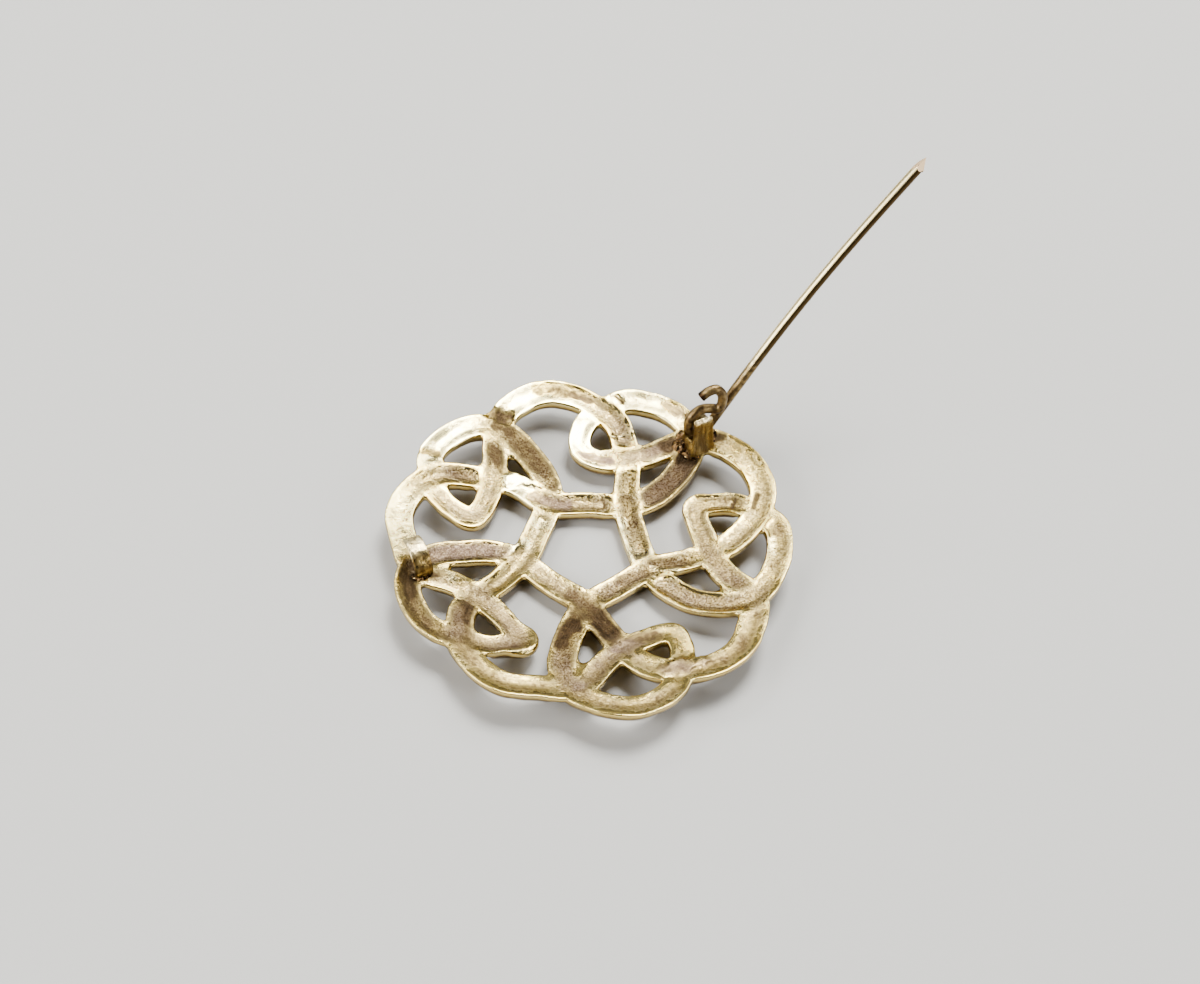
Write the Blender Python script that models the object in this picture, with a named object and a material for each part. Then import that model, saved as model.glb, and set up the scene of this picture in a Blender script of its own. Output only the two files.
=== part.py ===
"""Round pierced brooch seen from its back: a cast knotwork plate and a hinged pin.

One closed strand makes the plate. It crosses itself twenty times in five units, always over then under.
The back is up: a channel runs along the strand between two raised edges. The front is down and rounded.
Units go round from the top: top, right, lower right, lower left, left. Metres, up is +Z.
"""
import bpy
import numpy as np
from mathutils import Matrix

PLATE_RADIUS = 0.0200
STRAND_WIDTH = 0.0027
EDGE_THICKNESS = 0.00060
FRONT_BULGE = 0.0014
CHANNEL_DEPTH = 0.00055
DOME_RISE = 0.0024
HEIGHT_OF_BACK = 0.00162
WIRE_DIAMETER = 0.00100
EYE_RADIUS = 0.00148
PIN_LENGTH = 0.0329
PIN_BOW = 0.00087
LUG_WIDTH = 0.00215
LUG_TOP = 0.00095
LUG_WALL = 0.00036
CATCH_WIDTH = 0.00175
CATCH_HEIGHT = 0.0023
CATCH_REACH = 0.0029
CATCH_THICKNESS = 0.00055
CLEARANCE = 0.0003

UNITS = 5
UNIT_TURN = 2.0*np.pi/UNITS
# the real strand's width as a share of the plate's radius; a strand wider than that by EVEN_SHARE has no
# room for the hand-made shifts of the pattern, so they shrink away
WIDTH_SHARE = 0.135
EVEN_SHARE = 0.020
PIN_AZIMUTH = np.radians(31.1)
AXIS_LEAN = np.radians(7.3)
PIN_LIFT = np.radians(48.0)
# plan position of the pin's axis as shares of the plate's radius, and its height over the back in eye radii
AXIS_AT_SHARES = (0.5065, 0.6947)
AXIS_HEIGHT_SHARE = 2.13
# plan position of the catch's foot as shares of the plate's radius
CATCH_AT_SHARES = (-0.760, -0.300)
RING_SHARE = 0.2325

# name, unit step, across, up (hundredths of the plate's radius), width share,
# shift to the left of travel in the top, right, lower right, lower left and left units (hundredths too)
SECTION_SHARES = [
    ("lobe_rise", 0, -41.5, 80.5, 1.02, (2.2, 2.7, 0.2, -2.2, -2.5)),
    ("lobe_crest", 0, -26.5, 89.8, 1.00, (1.2, 2.0, 0.7, -0.6, -1.6)),
    ("lobe_fall", 0, -10.5, 91.0, 0.98, (-1.7, 1.0, 0.0, -0.5, -1.5)),
    ("over_rim", 0, 2.5, 85.5, 1.00, (-2.2, -0.5, 0.5, 0.7, -0.5)),
    ("right_side", 0, 10.0, 77.2, 1.02, (-1.0, -1.1, 1.4, 1.8, -0.2)),
    ("right_low", 0, 15.0, 68.0, 1.00, (-2.0, -1.1, 1.1, 2.2, -1.0)),
    ("under_base", 0, 17.0, 58.5, 1.00, (-1.0, -0.5, 0.7, 1.2, 1.0)),
    ("spoke_top", 0, 17.0, 48.0, 0.95, (0.0, 0.2, 0.5, 0.0, 3.2)),
    ("spoke_low", 0, 17.0, 38.5, 0.98, (0.0, 0.5, 1.0, 0.2, 2.2)),
    ("over_ring", 0, 18.0, 28.0, 1.00, (0.0, 0.0, 0.0, 0.0, 0.0)),
    ("bar", 1, -2.0, 26.2, 0.98, (1.7, -1.0, 0.7, 0.7, -0.2)),
    ("under_ring", 1, 18.0, 28.0, 1.00, (1.0, -1.0, 1.5, 0.0, 0.0)),
    ("sweep_low", 1, 30.5, 34.5, 1.03, (1.0, -1.7, 2.5, -1.2, 0.5)),
    ("sweep_mid", 1, 39.0, 45.0, 1.03, (0.0, -4.0, 0.0, -1.6, 1.0)),
    ("sweep_top", 1, 45.5, 57.0, 1.03, (-0.2, -3.2, -2.5, -2.5, 1.5)),
    ("over_join", 1, 48.0, 70.0, 1.00, (-0.5, -1.0, -3.0, -1.0, 1.8)),
    ("back_rise", 1, 42.5, 80.5, 0.95, (-0.5, 1.5, -3.2, 0.0, 1.5)),
    ("back_crest", 1, 32.5, 87.0, 0.94, (-1.0, 0.5, -5.5, 0.5, 0.7)),
    ("back_mid", 1, 22.0, 90.5, 0.92, (-0.2, -0.5, -4.7, 1.5, 0.2)),
    ("back_fall", 1, 12.0, 90.8, 0.95, (0.0, -1.5, -2.5, 3.7, 0.5)),
    ("under_rim", 1, 2.5, 85.5, 0.95, (0.5, -2.0, -0.5, 3.0, 1.0)),
    ("loop_top", 1, -6.0, 78.0, 0.87, (0.5, -2.0, 1.5, 0.5, 1.2)),
    ("loop_corner", 1, 0.0, 0.0, 0.84, None),
    ("loop_base", 1, 3.0, 56.5, 0.87, (-1.7, 1.0, 4.7, 3.2, -1.0)),
    ("over_base", 1, 17.0, 58.5, 0.93, (-1.5, -0.5, 2.0, 0.5, -0.2)),
    ("base_out", 1, 33.0, 64.0, 0.96, (-0.5, -1.6, 1.2, -1.5, 0.0)),
    ("under_join", 1, 48.0, 70.0, 1.00, (0.5, -0.5, 0.5, -1.0, -0.5)),
]
# the loop's corner in each unit: across, up (hundredths of the plate's radius),
# radius of the bend and how far the outer edge is drawn out to a point (shares of the strand's width)
LOOP_CORNER_SHARES = [
    (-14.5, 53.7, 0.80, 0.00),
    (-14.5, 57.5, 0.47, 0.22),
    (-10.0, 63.5, 0.46, 0.10),
    (-15.5, 64.0, 0.46, 0.50),
    (-12.0, 55.7, 0.52, 0.12),
]
CROSSINGS = [("over_rim", "under_rim"), ("over_base", "under_base"), ("over_ring", "under_ring"),
             ("over_join", "under_join")]

# lanes across the strand from its right edge (-1) to its left edge (1)
LANE_SHARES = np.array([-1.0, -0.72, -0.5, 0.0, 0.5, 0.72, 1.0])
# shares of the strand's width along an under strand's closed end: edge, start and foot of the end wall
END_SHARES = (0.0, 0.05, 0.16)
SEGMENT_SHARE = 0.58

# the tail after the eye: along and up in the pin's plane, sideways towards the near face (eye radii)
TAIL_SHARES = [
    (0.655, 0.900, 0.20),
    (1.120, 0.940, 0.44),
    (1.362, 1.459, 0.40),
    (1.314, 2.057, 0.34),
    (0.934, 2.507, 0.24),
    (0.508, 2.470, 0.14),
    (0.220, 2.310, 0.08),
    (-0.100, 2.060, 0.03),
]
# the catch's strip from foot to free end: shares of its reach and of its height
CATCH_PATH_SHARES = [
    (-0.02, -0.42),
    (-0.08, 0.12),
    (-0.08, 0.45),
    (0.10, 0.74),
    (0.38, 0.94),
    (0.68, 0.97),
    (0.92, 0.84),
    (1.00, 0.68),
]


def clear_scene():
    for item in list(bpy.data.objects):
        bpy.data.objects.remove(item, do_unlink=True)


def unit_vector(v):
    return v/np.linalg.norm(v, axis=-1)[..., None]


def turned(point, unit):
    """The point turned clockwise by a number of units."""
    a = -UNIT_TURN*unit
    c, s = np.cos(a), np.sin(a)
    return np.array([c*point[0] - s*point[1], s*point[0] + c*point[1]])


class ClosedCurve:
    """Periodic cubic spline through rows of values; the first two columns set the spacing."""

    def __init__(self, values):
        self.values = values
        ahead = np.roll(values[:, :2], -1, axis=0) - values[:, :2]
        self.step = (np.hypot(ahead[:, 0], ahead[:, 1])/PLATE_RADIUS)**0.8
        self.knot = np.concatenate([[0.0], np.cumsum(self.step)])
        self.length = self.knot[-1]
        n = len(values)
        before = np.roll(self.step, 1)
        slope = (np.roll(values, -1, axis=0) - values)/self.step[:, None]
        rows = np.arange(n)
        matrix = np.zeros((n, n))
        matrix[rows, rows] = 2.0*(before + self.step)
        matrix[rows, (rows - 1) % n] += before
        matrix[rows, (rows + 1) % n] += self.step
        self.curl = np.linalg.solve(matrix, 6.0*(slope - np.roll(slope, 1, axis=0)))

    def at(self, place):
        place = np.asarray(place, float) % self.length
        i = np.clip(np.searchsorted(self.knot, place, side="right") - 1, 0, len(self.step) - 1)
        j = (i + 1) % len(self.step)
        h = self.step[i][..., None]
        t = (place - self.knot[i])[..., None]
        s = h - t
        return ((self.curl[i]*s**3 + self.curl[j]*t**3)/(6.0*h)
                + (self.values[i]/h - self.curl[i]*h/6.0)*s
                + (self.values[j]/h - self.curl[j]*h/6.0)*t)


def strand_rows():
    """Control points of the strand as rows of x, y, half width, outer point; and their (name, unit)."""
    share = PLATE_RADIUS/100.0
    base = []
    names = []
    for turn in range(UNITS):
        for name, step, across, up, width, shift in SECTION_SHARES:
            unit = (2*turn + step) % UNITS
            if shift is None:
                across, up = LOOP_CORNER_SHARES[unit][:2]
            base.append(turned((across*share, up*share), unit))
            names.append((name, unit, 0.5*STRAND_WIDTH*width, shift))
    base = np.array(base)
    ahead = unit_vector(np.roll(base, -1, axis=0) - np.roll(base, 1, axis=0))
    left = np.stack([-ahead[:, 1], ahead[:, 0]], axis=1)
    moved = base.copy()
    uneven = np.clip(1.0 - (STRAND_WIDTH/PLATE_RADIUS - WIDTH_SHARE)/EVEN_SHARE, 0.0, 1.0)
    for i, (name, unit, half, shift) in enumerate(names):
        if shift is not None:
            moved[i] += left[i]*shift[unit]*share*uneven
    rows = []
    keys = []
    for i, (name, unit, half, shift) in enumerate(names):
        if shift is not None:
            rows.append([moved[i, 0], moved[i, 1], half, 0.0])
            keys.append((name, unit))
            continue
        bend, drawn = LOOP_CORNER_SHARES[unit][2:]
        side = unit_vector(moved[i - 1] - moved[i])
        floor = unit_vector(moved[i + 1] - moved[i])
        middle = unit_vector(side + floor)
        half_angle = 0.5*np.arccos(np.clip(side @ floor, -1.0, 1.0))
        room = 0.95*min(np.linalg.norm(moved[i - 1] - moved[i]), np.linalg.norm(moved[i + 1] - moved[i]))
        reach = min(bend*STRAND_WIDTH/np.tan(half_angle), room)
        radius = reach*np.tan(half_angle)
        inner = radius/np.sin(half_angle) - radius
        out = drawn*STRAND_WIDTH
        for where, extra, key in ((moved[i] + side*reach, 0.2*out, "corner_in"),
                                  (moved[i] + middle*inner, out, "corner"),
                                  (moved[i] + floor*reach, 0.2*out, "corner_out")):
            rows.append([where[0], where[1], half, extra])
            keys.append((key, unit))
    return np.array(rows), keys


def lane_point(curve, place, across):
    """Plan position at a place along the strand and across it, from -1 (right edge) to 1 (left edge)."""
    nudge = curve.length*1e-6
    here = curve.at(place)
    ahead = unit_vector(curve.at(place + nudge)[..., :2] - curve.at(place - nudge)[..., :2])
    left = np.stack([-ahead[..., 1], ahead[..., 0]], axis=-1)
    drawn = np.where(across < 0.0, np.maximum(here[..., 3], 0.0), 0.0)
    return here[..., :2] + left*(across*(here[..., 2] + drawn))[..., None]


def meeting_places(curve, place_a, place_b, across_a, across_b):
    """Newton's method for the places where a lane of one pass meets a lane of the other."""
    nudge = curve.length*1e-6
    for _ in range(12):
        gap = lane_point(curve, place_a, across_a) - lane_point(curve, place_b, across_b)
        da = (lane_point(curve, place_a + nudge, across_a)
              - lane_point(curve, place_a - nudge, across_a))/(2.0*nudge)
        db = (lane_point(curve, place_b + nudge, across_b)
              - lane_point(curve, place_b - nudge, across_b))/(2.0*nudge)
        det = db[..., 0]*da[..., 1] - da[..., 0]*db[..., 1]
        place_a = place_a + (gap[..., 0]*db[..., 1] - gap[..., 1]*db[..., 0])/det
        place_b = place_b + (gap[..., 0]*da[..., 1] - gap[..., 1]*da[..., 0])/det
    return place_a, place_b


def ramp(value, low, high):
    return np.clip((value - low)/(high - low), 0.0, 1.0)


def eased(t):
    return t*t*(3.0 - 2.0*t)


def dome(plan):
    """Height of the back: a shallow bowl that is level with the ring's inner edge at zero."""
    r2 = (plan[..., 0]**2 + plan[..., 1]**2)/PLATE_RADIUS**2
    return DOME_RISE*(r2 - RING_SHARE**2)


def back_height(plan, across, end_share):
    """The back: raised edges, a channel between them, closed where end_share is 0."""
    channel = np.minimum(1.0 - ramp(np.abs(across), 0.5, 0.72), end_share)
    return HEIGHT_OF_BACK + dome(plan) - CHANNEL_DEPTH*channel


def front_height(plan, across, swell):
    """The front: a rounded band that swells with `swell`, rubbed flat where it would pass below zero."""
    rounded = (1.0 - np.abs(across)**1.8)**0.8
    return np.maximum(HEIGHT_OF_BACK + dome(plan) - EDGE_THICKNESS - FRONT_BULGE*swell*rounded, 0.0)


def patch_of(curve, over_at, under_at):
    """The crossing where two passes share metal: grids of places and of back and front points."""
    across_over, across_under = np.meshgrid(LANE_SHARES, LANE_SHARES, indexing="ij")
    place_over, place_under = meeting_places(curve, np.full(across_over.shape, over_at),
                                             np.full(across_over.shape, under_at),
                                             across_over, across_under)
    plan = lane_point(curve, place_over, across_over)
    back = np.dstack([plan, back_height(plan, across_over, 1.0)])
    front = np.dstack([plan, front_height(plan, across_over, 1.12)])
    return place_over, place_under, back, front


def pass_ends(places, back, front):
    """Entry and exit of a pass whose lanes are rows: (places, back points, front points) for each."""
    forward = places[:, -1].mean() > places[:, 0].mean()
    first, last = (0, -1) if forward else (-1, 0)
    return [(places[:, k], back[:, k], front[:, k]) for k in (first, last)]


def stations(length, closed_start, closed_end, corner):
    """Shares of a strip's length at which it has rows; a corner has three rows of its own."""
    foot = END_SHARES[-1]*STRAND_WIDTH
    start = np.array(END_SHARES)*STRAND_WIDTH/length if closed_start else np.array([0.0])
    end = 1.0 - np.array(END_SHARES)[::-1]*STRAND_WIDTH/length if closed_end else np.array([1.0])
    gap = 0.5*foot/length
    corner = corner[(corner > start[-1] + gap) & (corner < end[0] - gap)]
    rows = [start]
    for here, there in zip([start[-1], *corner[-1:]], [*corner[:1], end[0]]):
        count = max(1, int(np.ceil((there - here)*length/(SEGMENT_SHARE*STRAND_WIDTH) - 0.2)))
        rows.append(np.linspace(here, there, count + 1)[1:-1])
        if len(corner) and there == corner[0]:
            rows.append(corner)
    rows.append(end)
    return np.concatenate(rows)


def strip_between(curve, leave, arrive, closed_start, closed_end, bends):
    """Back and front grids (rows along the strand, columns across it) between two crossings."""
    place0, back0, front0 = leave
    place1, back1, front1 = arrive
    place1 = place0 + (place1 - place0) % curve.length
    trace = np.linspace(place0.mean(), place1.mean(), 60)
    middle = lane_point(curve, trace, np.zeros(60))
    length = np.hypot(*np.diff(middle, axis=0).T).sum()
    corner = (bends - place0.mean()) % curve.length/(place1.mean() - place0.mean())
    share = stations(length, closed_start, closed_end, np.sort(corner[corner < 1.0]))
    place = place0 + share[:, None]*(place1 - place0)
    across = np.broadcast_to(LANE_SHARES, place.shape)
    plan = lane_point(curve, place, across)
    from_start = share*length/STRAND_WIDTH
    from_end = (1.0 - share)*length/STRAND_WIDTH
    wall = np.ones(len(share))
    swell = np.ones(len(share))
    for distance, closed in ((from_start, closed_start), (from_end, closed_end)):
        if closed:
            wall = np.minimum(wall, ramp(distance, *END_SHARES[1:]))
            swell = swell*eased(ramp(distance, 0.0, 0.45))
        else:
            swell = swell + 0.12*(1.0 - eased(ramp(distance, 0.0, 0.45)))
    back = np.dstack([plan, back_height(plan, across, wall[:, None])])
    front = np.dstack([plan, front_height(plan, across, swell[:, None])])
    back[0], back[-1] = back0, back1
    front[0], front[-1] = front0, front1
    return back, front


def grid_quads(grid, upward):
    """The grid's quads as rows of four points, in an order that faces up or down."""
    a, b, c, d = grid[:-1, :-1], grid[1:, :-1], grid[1:, 1:], grid[:-1, 1:]
    quads = np.stack([a, b, c, d], axis=2).reshape(-1, 4, 3)
    side = np.cross(quads[:, 1, :2] - quads[:, 0, :2], quads[:, 3, :2] - quads[:, 0, :2])
    if (side.sum() > 0.0) != upward:
        quads = quads[:, ::-1]
    return quads


def wall_quads(back, front):
    """The wall below an edge that runs with the metal on its right."""
    return np.stack([back[:-1], back[1:], front[1:], front[:-1]], axis=1)


def strand_quads():
    """All quads of the plate: twenty crossings and the forty strips between them."""
    rows, keys = strand_rows()
    curve = ClosedCurve(rows)
    at = {key: curve.knot[i] for i, key in enumerate(keys)}
    quads = []
    passes = []
    for over, under in CROSSINGS:
        for unit in range(UNITS):
            place_over, place_under, back, front = patch_of(curve, at[(over, unit)], at[(under, unit)])
            quads.append(grid_quads(back, True))
            quads.append(grid_quads(front, False))
            passes.append((at[(over, unit)], False, pass_ends(place_over, back, front)))
            passes.append((at[(under, unit)], True,
                           pass_ends(place_under.T, back.transpose(1, 0, 2), front.transpose(1, 0, 2))))
    passes.sort(key=lambda entry: entry[0])
    bends = np.array([place for key, place in at.items() if key[0].startswith("corner")])
    for here, there in zip(passes, passes[1:] + passes[:1]):
        back, front = strip_between(curve, here[2][1], there[2][0], here[1], there[1], bends)
        quads.append(grid_quads(back, True))
        quads.append(grid_quads(front, False))
        quads.append(wall_quads(back[:, -1], front[:, -1]))
        quads.append(wall_quads(back[::-1, 0], front[::-1, 0]))
    return np.concatenate(quads)


def solid_from_quads(name, quads):
    """Object from loose quads, welded where their corners are the same point."""
    corners = quads.reshape(-1, 3)
    _, first, index = np.unique(np.round(corners, 9), axis=0, return_index=True, return_inverse=True)
    faces = index.reshape(-1, 4)
    mesh = bpy.data.meshes.new(name)
    mesh.from_pydata(corners[first].tolist(), [], faces.tolist())
    mesh.update()
    item = bpy.data.objects.new(name, mesh)
    bpy.context.collection.objects.link(item)
    return item


def solid_from_rings(name, rings, closed=False):
    """Object whose skin joins rings of points; the ends are capped unless the rings close on themselves."""
    count, sides = rings.shape[:2]
    index = np.arange(count*sides).reshape(count, sides)
    after = np.roll(index, -1, axis=0) if closed else index[1:]
    before = index if closed else index[:-1]
    faces = np.stack([before, np.roll(before, -1, axis=1), np.roll(after, -1, axis=1), after],
                     axis=2).reshape(-1, 4).tolist()
    if not closed:
        faces.append(index[0, ::-1].tolist())
        faces.append(index[-1].tolist())
    mesh = bpy.data.meshes.new(name)
    mesh.from_pydata(rings.reshape(-1, 3).tolist(), [], faces)
    mesh.update()
    item = bpy.data.objects.new(name, mesh)
    bpy.context.collection.objects.link(item)
    return item


def hinge_frame():
    """The pin's axis: its centre, the outward direction, the upward direction and the axis itself."""
    plan = np.array(AXIS_AT_SHARES)*PLATE_RADIUS
    centre = np.array([*plan, HEIGHT_OF_BACK + dome(plan) + AXIS_HEIGHT_SHARE*EYE_RADIUS])
    outward = np.array([np.cos(PIN_AZIMUTH), np.sin(PIN_AZIMUTH), 0.0])
    level = np.array([np.sin(PIN_AZIMUTH), -np.cos(PIN_AZIMUTH), 0.0])
    axis = np.cos(AXIS_LEAN)*level + np.sin(AXIS_LEAN)*np.array([0.0, 0.0, 1.0])
    upward = np.cross(axis, outward)
    return centre, outward, upward, axis


def smooth_through(points, per_step):
    """Catmull-Rom curve through the points."""
    before = np.vstack([2.0*points[0] - points[1], points[:-2]])
    after = np.vstack([points[2:], 2.0*points[-1] - points[-2]])
    t = (np.arange(per_step)/per_step)[None, :, None]
    p0, p1, p2, p3 = before[:, None], points[:-1, None], points[1:, None], after[:, None]
    body = 0.5*(2.0*p1 + (p2 - p0)*t + (2.0*p0 - 5.0*p1 + 4.0*p2 - p3)*t**2
                + (3.0*p1 - p0 - 3.0*p2 + p3)*t**3)
    return np.vstack([body.reshape(-1, points.shape[1]), points[-1:]])


def pin_line():
    """The wire's middle line from tip to tail in the pin's plane, and the wire's radius along it."""
    ahead = np.array([np.cos(PIN_LIFT), np.sin(PIN_LIFT)])
    side = np.array([np.sin(PIN_LIFT), -np.cos(PIN_LIFT)])
    run = np.concatenate([[1.0, 0.994, 0.97], np.linspace(0.94, 0.0, 19)])
    shaft = (EYE_RADIUS - PIN_BOW*np.sin(np.pi*run))[:, None]*side + (run*PIN_LENGTH)[:, None]*ahead
    shaft = np.column_stack([shaft, np.zeros(len(run))])
    thickness = 0.5*WIRE_DIAMETER*(1.0 - 0.10*run)
    thickness[:3] *= (0.22, 0.50, 1.0)
    angle = PIN_LIFT - 0.5*np.pi - np.radians(np.linspace(0.0, 243.0, 19))[1:]
    sideways = np.linspace(0.0, 0.10, 19)[1:]
    eye = EYE_RADIUS*np.column_stack([np.cos(angle), np.sin(angle), sideways])
    tail = smooth_through(np.vstack([eye[-2:], np.array(TAIL_SHARES)*EYE_RADIUS]), 3)[4:]
    line = np.vstack([shaft, eye[:-1], tail])
    radius = np.concatenate([thickness, np.full(len(line) - len(thickness), 0.5*WIRE_DIAMETER)])
    return line, radius


def wire(name, line, radius, sides, centre, outward, upward, axis):
    """Round wire along a line given in the pin's plane."""
    ahead = unit_vector(np.gradient(line, axis=0))
    across = np.array([0.0, 0.0, 1.0]) - ahead*ahead[:, 2:3]
    across = unit_vector(across)
    other = np.cross(ahead, across)
    turn = 2.0*np.pi*np.arange(sides)/sides
    ring = (np.cos(turn)[None, :, None]*across[:, None] + np.sin(turn)[None, :, None]*other[:, None])
    local = line[:, None] + radius[:, None, None]*ring
    return solid_from_rings(name, local @ np.array([outward, upward, axis]) + centre)


def make_lug():
    """The hinge lug: a post on a crossing with a slanted top, and the washer that cuts the eye's slot."""
    centre, outward, upward, axis = hinge_frame()
    frame = np.array([outward, upward, axis])
    inner = 0.5*WIRE_DIAMETER + 1.25*CLEARANCE
    near = inner + LUG_WALL
    far = -near + 0.4*CLEARANCE
    height = AXIS_HEIGHT_SHARE*EYE_RADIUS
    middle = -0.125*LUG_WIDTH
    sunk = -height - 1.75*CHANNEL_DEPTH
    rings = []
    # height of the near and far edge, half width (shares of the width), thickness (share)
    for low_near, low_far, widen, spread in ((sunk, sunk, 0.60, 1.15),
                                             (-height, -height, 0.57, 1.08),
                                             (-0.7*height, -0.7*height, 0.51, 1.0),
                                             (LUG_TOP, 0.32*LUG_TOP, 0.49, 1.0)):
        half = widen*LUG_WIDTH
        rings.append([(middle - half, low_near, near*spread), (middle + half, low_near, near*spread),
                      (middle + half, low_far, far*spread), (middle - half, low_far, far*spread)])
    lug = solid_from_rings("lug", np.array(rings) @ frame + centre)
    turn = np.radians(np.arange(0.0, 360.0, 18.0))
    around = np.column_stack([np.cos(turn), np.sin(turn), np.zeros(len(turn))])
    core = EYE_RADIUS - 0.5*WIRE_DIAMETER - CLEARANCE
    rim = EYE_RADIUS + 0.5*WIRE_DIAMETER + CLEARANCE
    slot = -inner + 0.4*CLEARANCE
    rings = []
    for radius, level in ((core, inner), (rim, inner), (rim, slot), (core, slot)):
        rings.append(radius*around + np.array([0.0, 0.0, level]))
    washer = solid_from_rings("washer", np.array(rings) @ frame + centre, closed=True)
    return lug, washer


def make_catch():
    """The catch: a strip that rises from its foot and hooks over, open on the far side."""
    along = np.array([np.cos(PIN_AZIMUTH), np.sin(PIN_AZIMUTH), 0.0])
    reach = np.array([-np.sin(PIN_AZIMUTH), np.cos(PIN_AZIMUTH), 0.0])
    up = np.array([0.0, 0.0, 1.0])
    plan = np.array(CATCH_AT_SHARES)*PLATE_RADIUS
    foot = np.array([*plan, HEIGHT_OF_BACK + dome(plan)])
    path = smooth_through(np.array(CATCH_PATH_SHARES)*(CATCH_REACH, CATCH_HEIGHT), 2)
    ahead = unit_vector(np.gradient(path, axis=0))
    outer = np.column_stack([-ahead[:, 1], ahead[:, 0]])
    rings = []
    for point, side in zip(path, outer):
        ring = []
        for across, off in ((-0.5, 0.5), (0.5, 0.5), (0.5, -0.5), (-0.5, -0.5)):
            where = point + side*off*CATCH_THICKNESS
            ring.append(foot + along*across*CATCH_WIDTH + reach*where[0] + up*where[1])
        rings.append(ring)
    return solid_from_rings("catch", np.array(rings))


def apply_boolean(item, other, operation):
    step = item.modifiers.new(operation.lower(), "BOOLEAN")
    step.operation = operation
    step.solver = "EXACT"
    step.object = other
    depsgraph = bpy.context.evaluated_depsgraph_get()
    mesh = bpy.data.meshes.new_from_object(item.evaluated_get(depsgraph))
    item.modifiers.clear()
    item.data = mesh
    bpy.data.objects.remove(other, do_unlink=True)


def face_outward(item):
    """Turns all faces over if the solid would be inside out."""
    mesh = item.data
    mesh.calc_loop_triangles()
    points = np.array([v.co[:] for v in mesh.vertices])
    corners = points[np.array([t.vertices[:] for t in mesh.loop_triangles])]
    volume = np.einsum("ij,ij->i", corners[:, 0], np.cross(corners[:, 1], corners[:, 2])).sum()
    if volume < 0.0:
        mesh.flip_normals()


def material(name, colour, roughness):
    made = bpy.data.materials.new(name)
    made.use_nodes = True
    shader = made.node_tree.nodes["Principled BSDF"]
    shader.inputs["Base Color"].default_value = (*colour, 1.0)
    shader.inputs["Metallic"].default_value = 1.0
    shader.inputs["Roughness"].default_value = roughness
    return made


def build():
    clear_scene()
    plate = solid_from_quads("knotwork_plate", strand_quads())
    lug, washer = make_lug()
    face_outward(lug)
    face_outward(washer)
    apply_boolean(lug, washer, "DIFFERENCE")
    catch = make_catch()
    face_outward(catch)
    apply_boolean(plate, lug, "UNION")
    apply_boolean(plate, catch, "UNION")
    plate.data.materials.clear()
    plate.data.materials.append(material("cast_brass", (0.62, 0.47, 0.24), 0.34))

    centre, outward, upward, axis = hinge_frame()
    line, radius = pin_line()
    pin = wire("pin", line, radius, 12, centre, outward, upward, axis)
    face_outward(pin)
    pin.data.transform(Matrix.Translation(-centre))
    pin.location = centre
    for polygon in pin.data.polygons:
        polygon.use_smooth = len(polygon.vertices) == 4
    pin.data.materials.append(material("drawn_brass_wire", (0.45, 0.31, 0.14), 0.30))


build()
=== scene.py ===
"""Looks of the round brooch seen from its back, in metres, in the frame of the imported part.

The casting is one closed strand that crosses itself twenty times in five units, always over then under.
A channel runs along its back between two ridges, and it differs from strip to strip as on the real casting.
The hinge lug, the catch, the solder and the pin's wire are pieces of their own.
"""
import bpy
import bmesh
import numpy as np
from mathutils import Matrix, Vector


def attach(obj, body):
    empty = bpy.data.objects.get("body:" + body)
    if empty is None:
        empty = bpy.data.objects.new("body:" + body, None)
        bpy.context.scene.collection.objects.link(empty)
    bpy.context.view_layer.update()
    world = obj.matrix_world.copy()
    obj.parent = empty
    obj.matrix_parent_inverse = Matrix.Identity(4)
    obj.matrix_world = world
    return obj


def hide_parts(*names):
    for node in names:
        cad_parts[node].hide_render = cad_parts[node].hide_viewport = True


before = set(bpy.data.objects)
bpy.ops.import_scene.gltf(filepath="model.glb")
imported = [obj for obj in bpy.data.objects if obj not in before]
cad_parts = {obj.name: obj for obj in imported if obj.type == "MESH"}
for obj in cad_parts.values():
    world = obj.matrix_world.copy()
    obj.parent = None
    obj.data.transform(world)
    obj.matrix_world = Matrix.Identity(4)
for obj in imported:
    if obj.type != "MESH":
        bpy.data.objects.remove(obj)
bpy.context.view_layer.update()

PLATE_RADIUS = 0.0200
STRAND_WIDTH = 0.0027
EDGE_THICKNESS = 0.00060
FRONT_BULGE = 0.0014
CHANNEL_DEPTH = 0.00055
DOME_RISE = 0.0024
HEIGHT_OF_BACK = 0.00162
WIRE_DIAMETER = 0.00100
EYE_RADIUS = 0.00148
PIN_LENGTH = 0.0336
PIN_BOW = 0.00087
LUG_WIDTH = 0.00215
LUG_TOP = 0.00095
LUG_WALL = 0.00036
CATCH_WIDTH = 0.00175
CATCH_HEIGHT = 0.0023
CATCH_REACH = 0.0029
CATCH_THICKNESS = 0.00055
CLEARANCE = 0.0003

UNITS = 5
UNIT_TURN = 2.0*np.pi/UNITS
PIN_AZIMUTH = np.radians(31.1)
AXIS_LEAN = np.radians(7.3)
PIN_LIFT = np.radians(48.0)
# plan position of the pin's axis as shares of the plate's radius, and its height over the back in eye radii
AXIS_AT = (0.5065, 0.6947)
AXIS_HEIGHT = 2.13
# plan position of the catch's foot, and the ring's inner edge, as shares of the plate's radius
CATCH_AT = (-0.760, -0.300)
RING_SHARE = 0.2325

# the casting's mesh: row spacing along a strip, points that measure a strip's length, lanes across the back
# and the front, rows down a wall, and the rows and columns of a web's fan
ROW_SPACING = 0.00019
TRACE_POINTS = 60
LANES_BACK = 31
LANES_FRONT = 11
WALL_ROWS = 3
WEB_GRID = (7, 9)
# radius of the ridges' outer edges, and how much fuller the front is at a crossing
EDGE_ROUND = 0.00014
CROSSING_SWELL = 0.12
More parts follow.
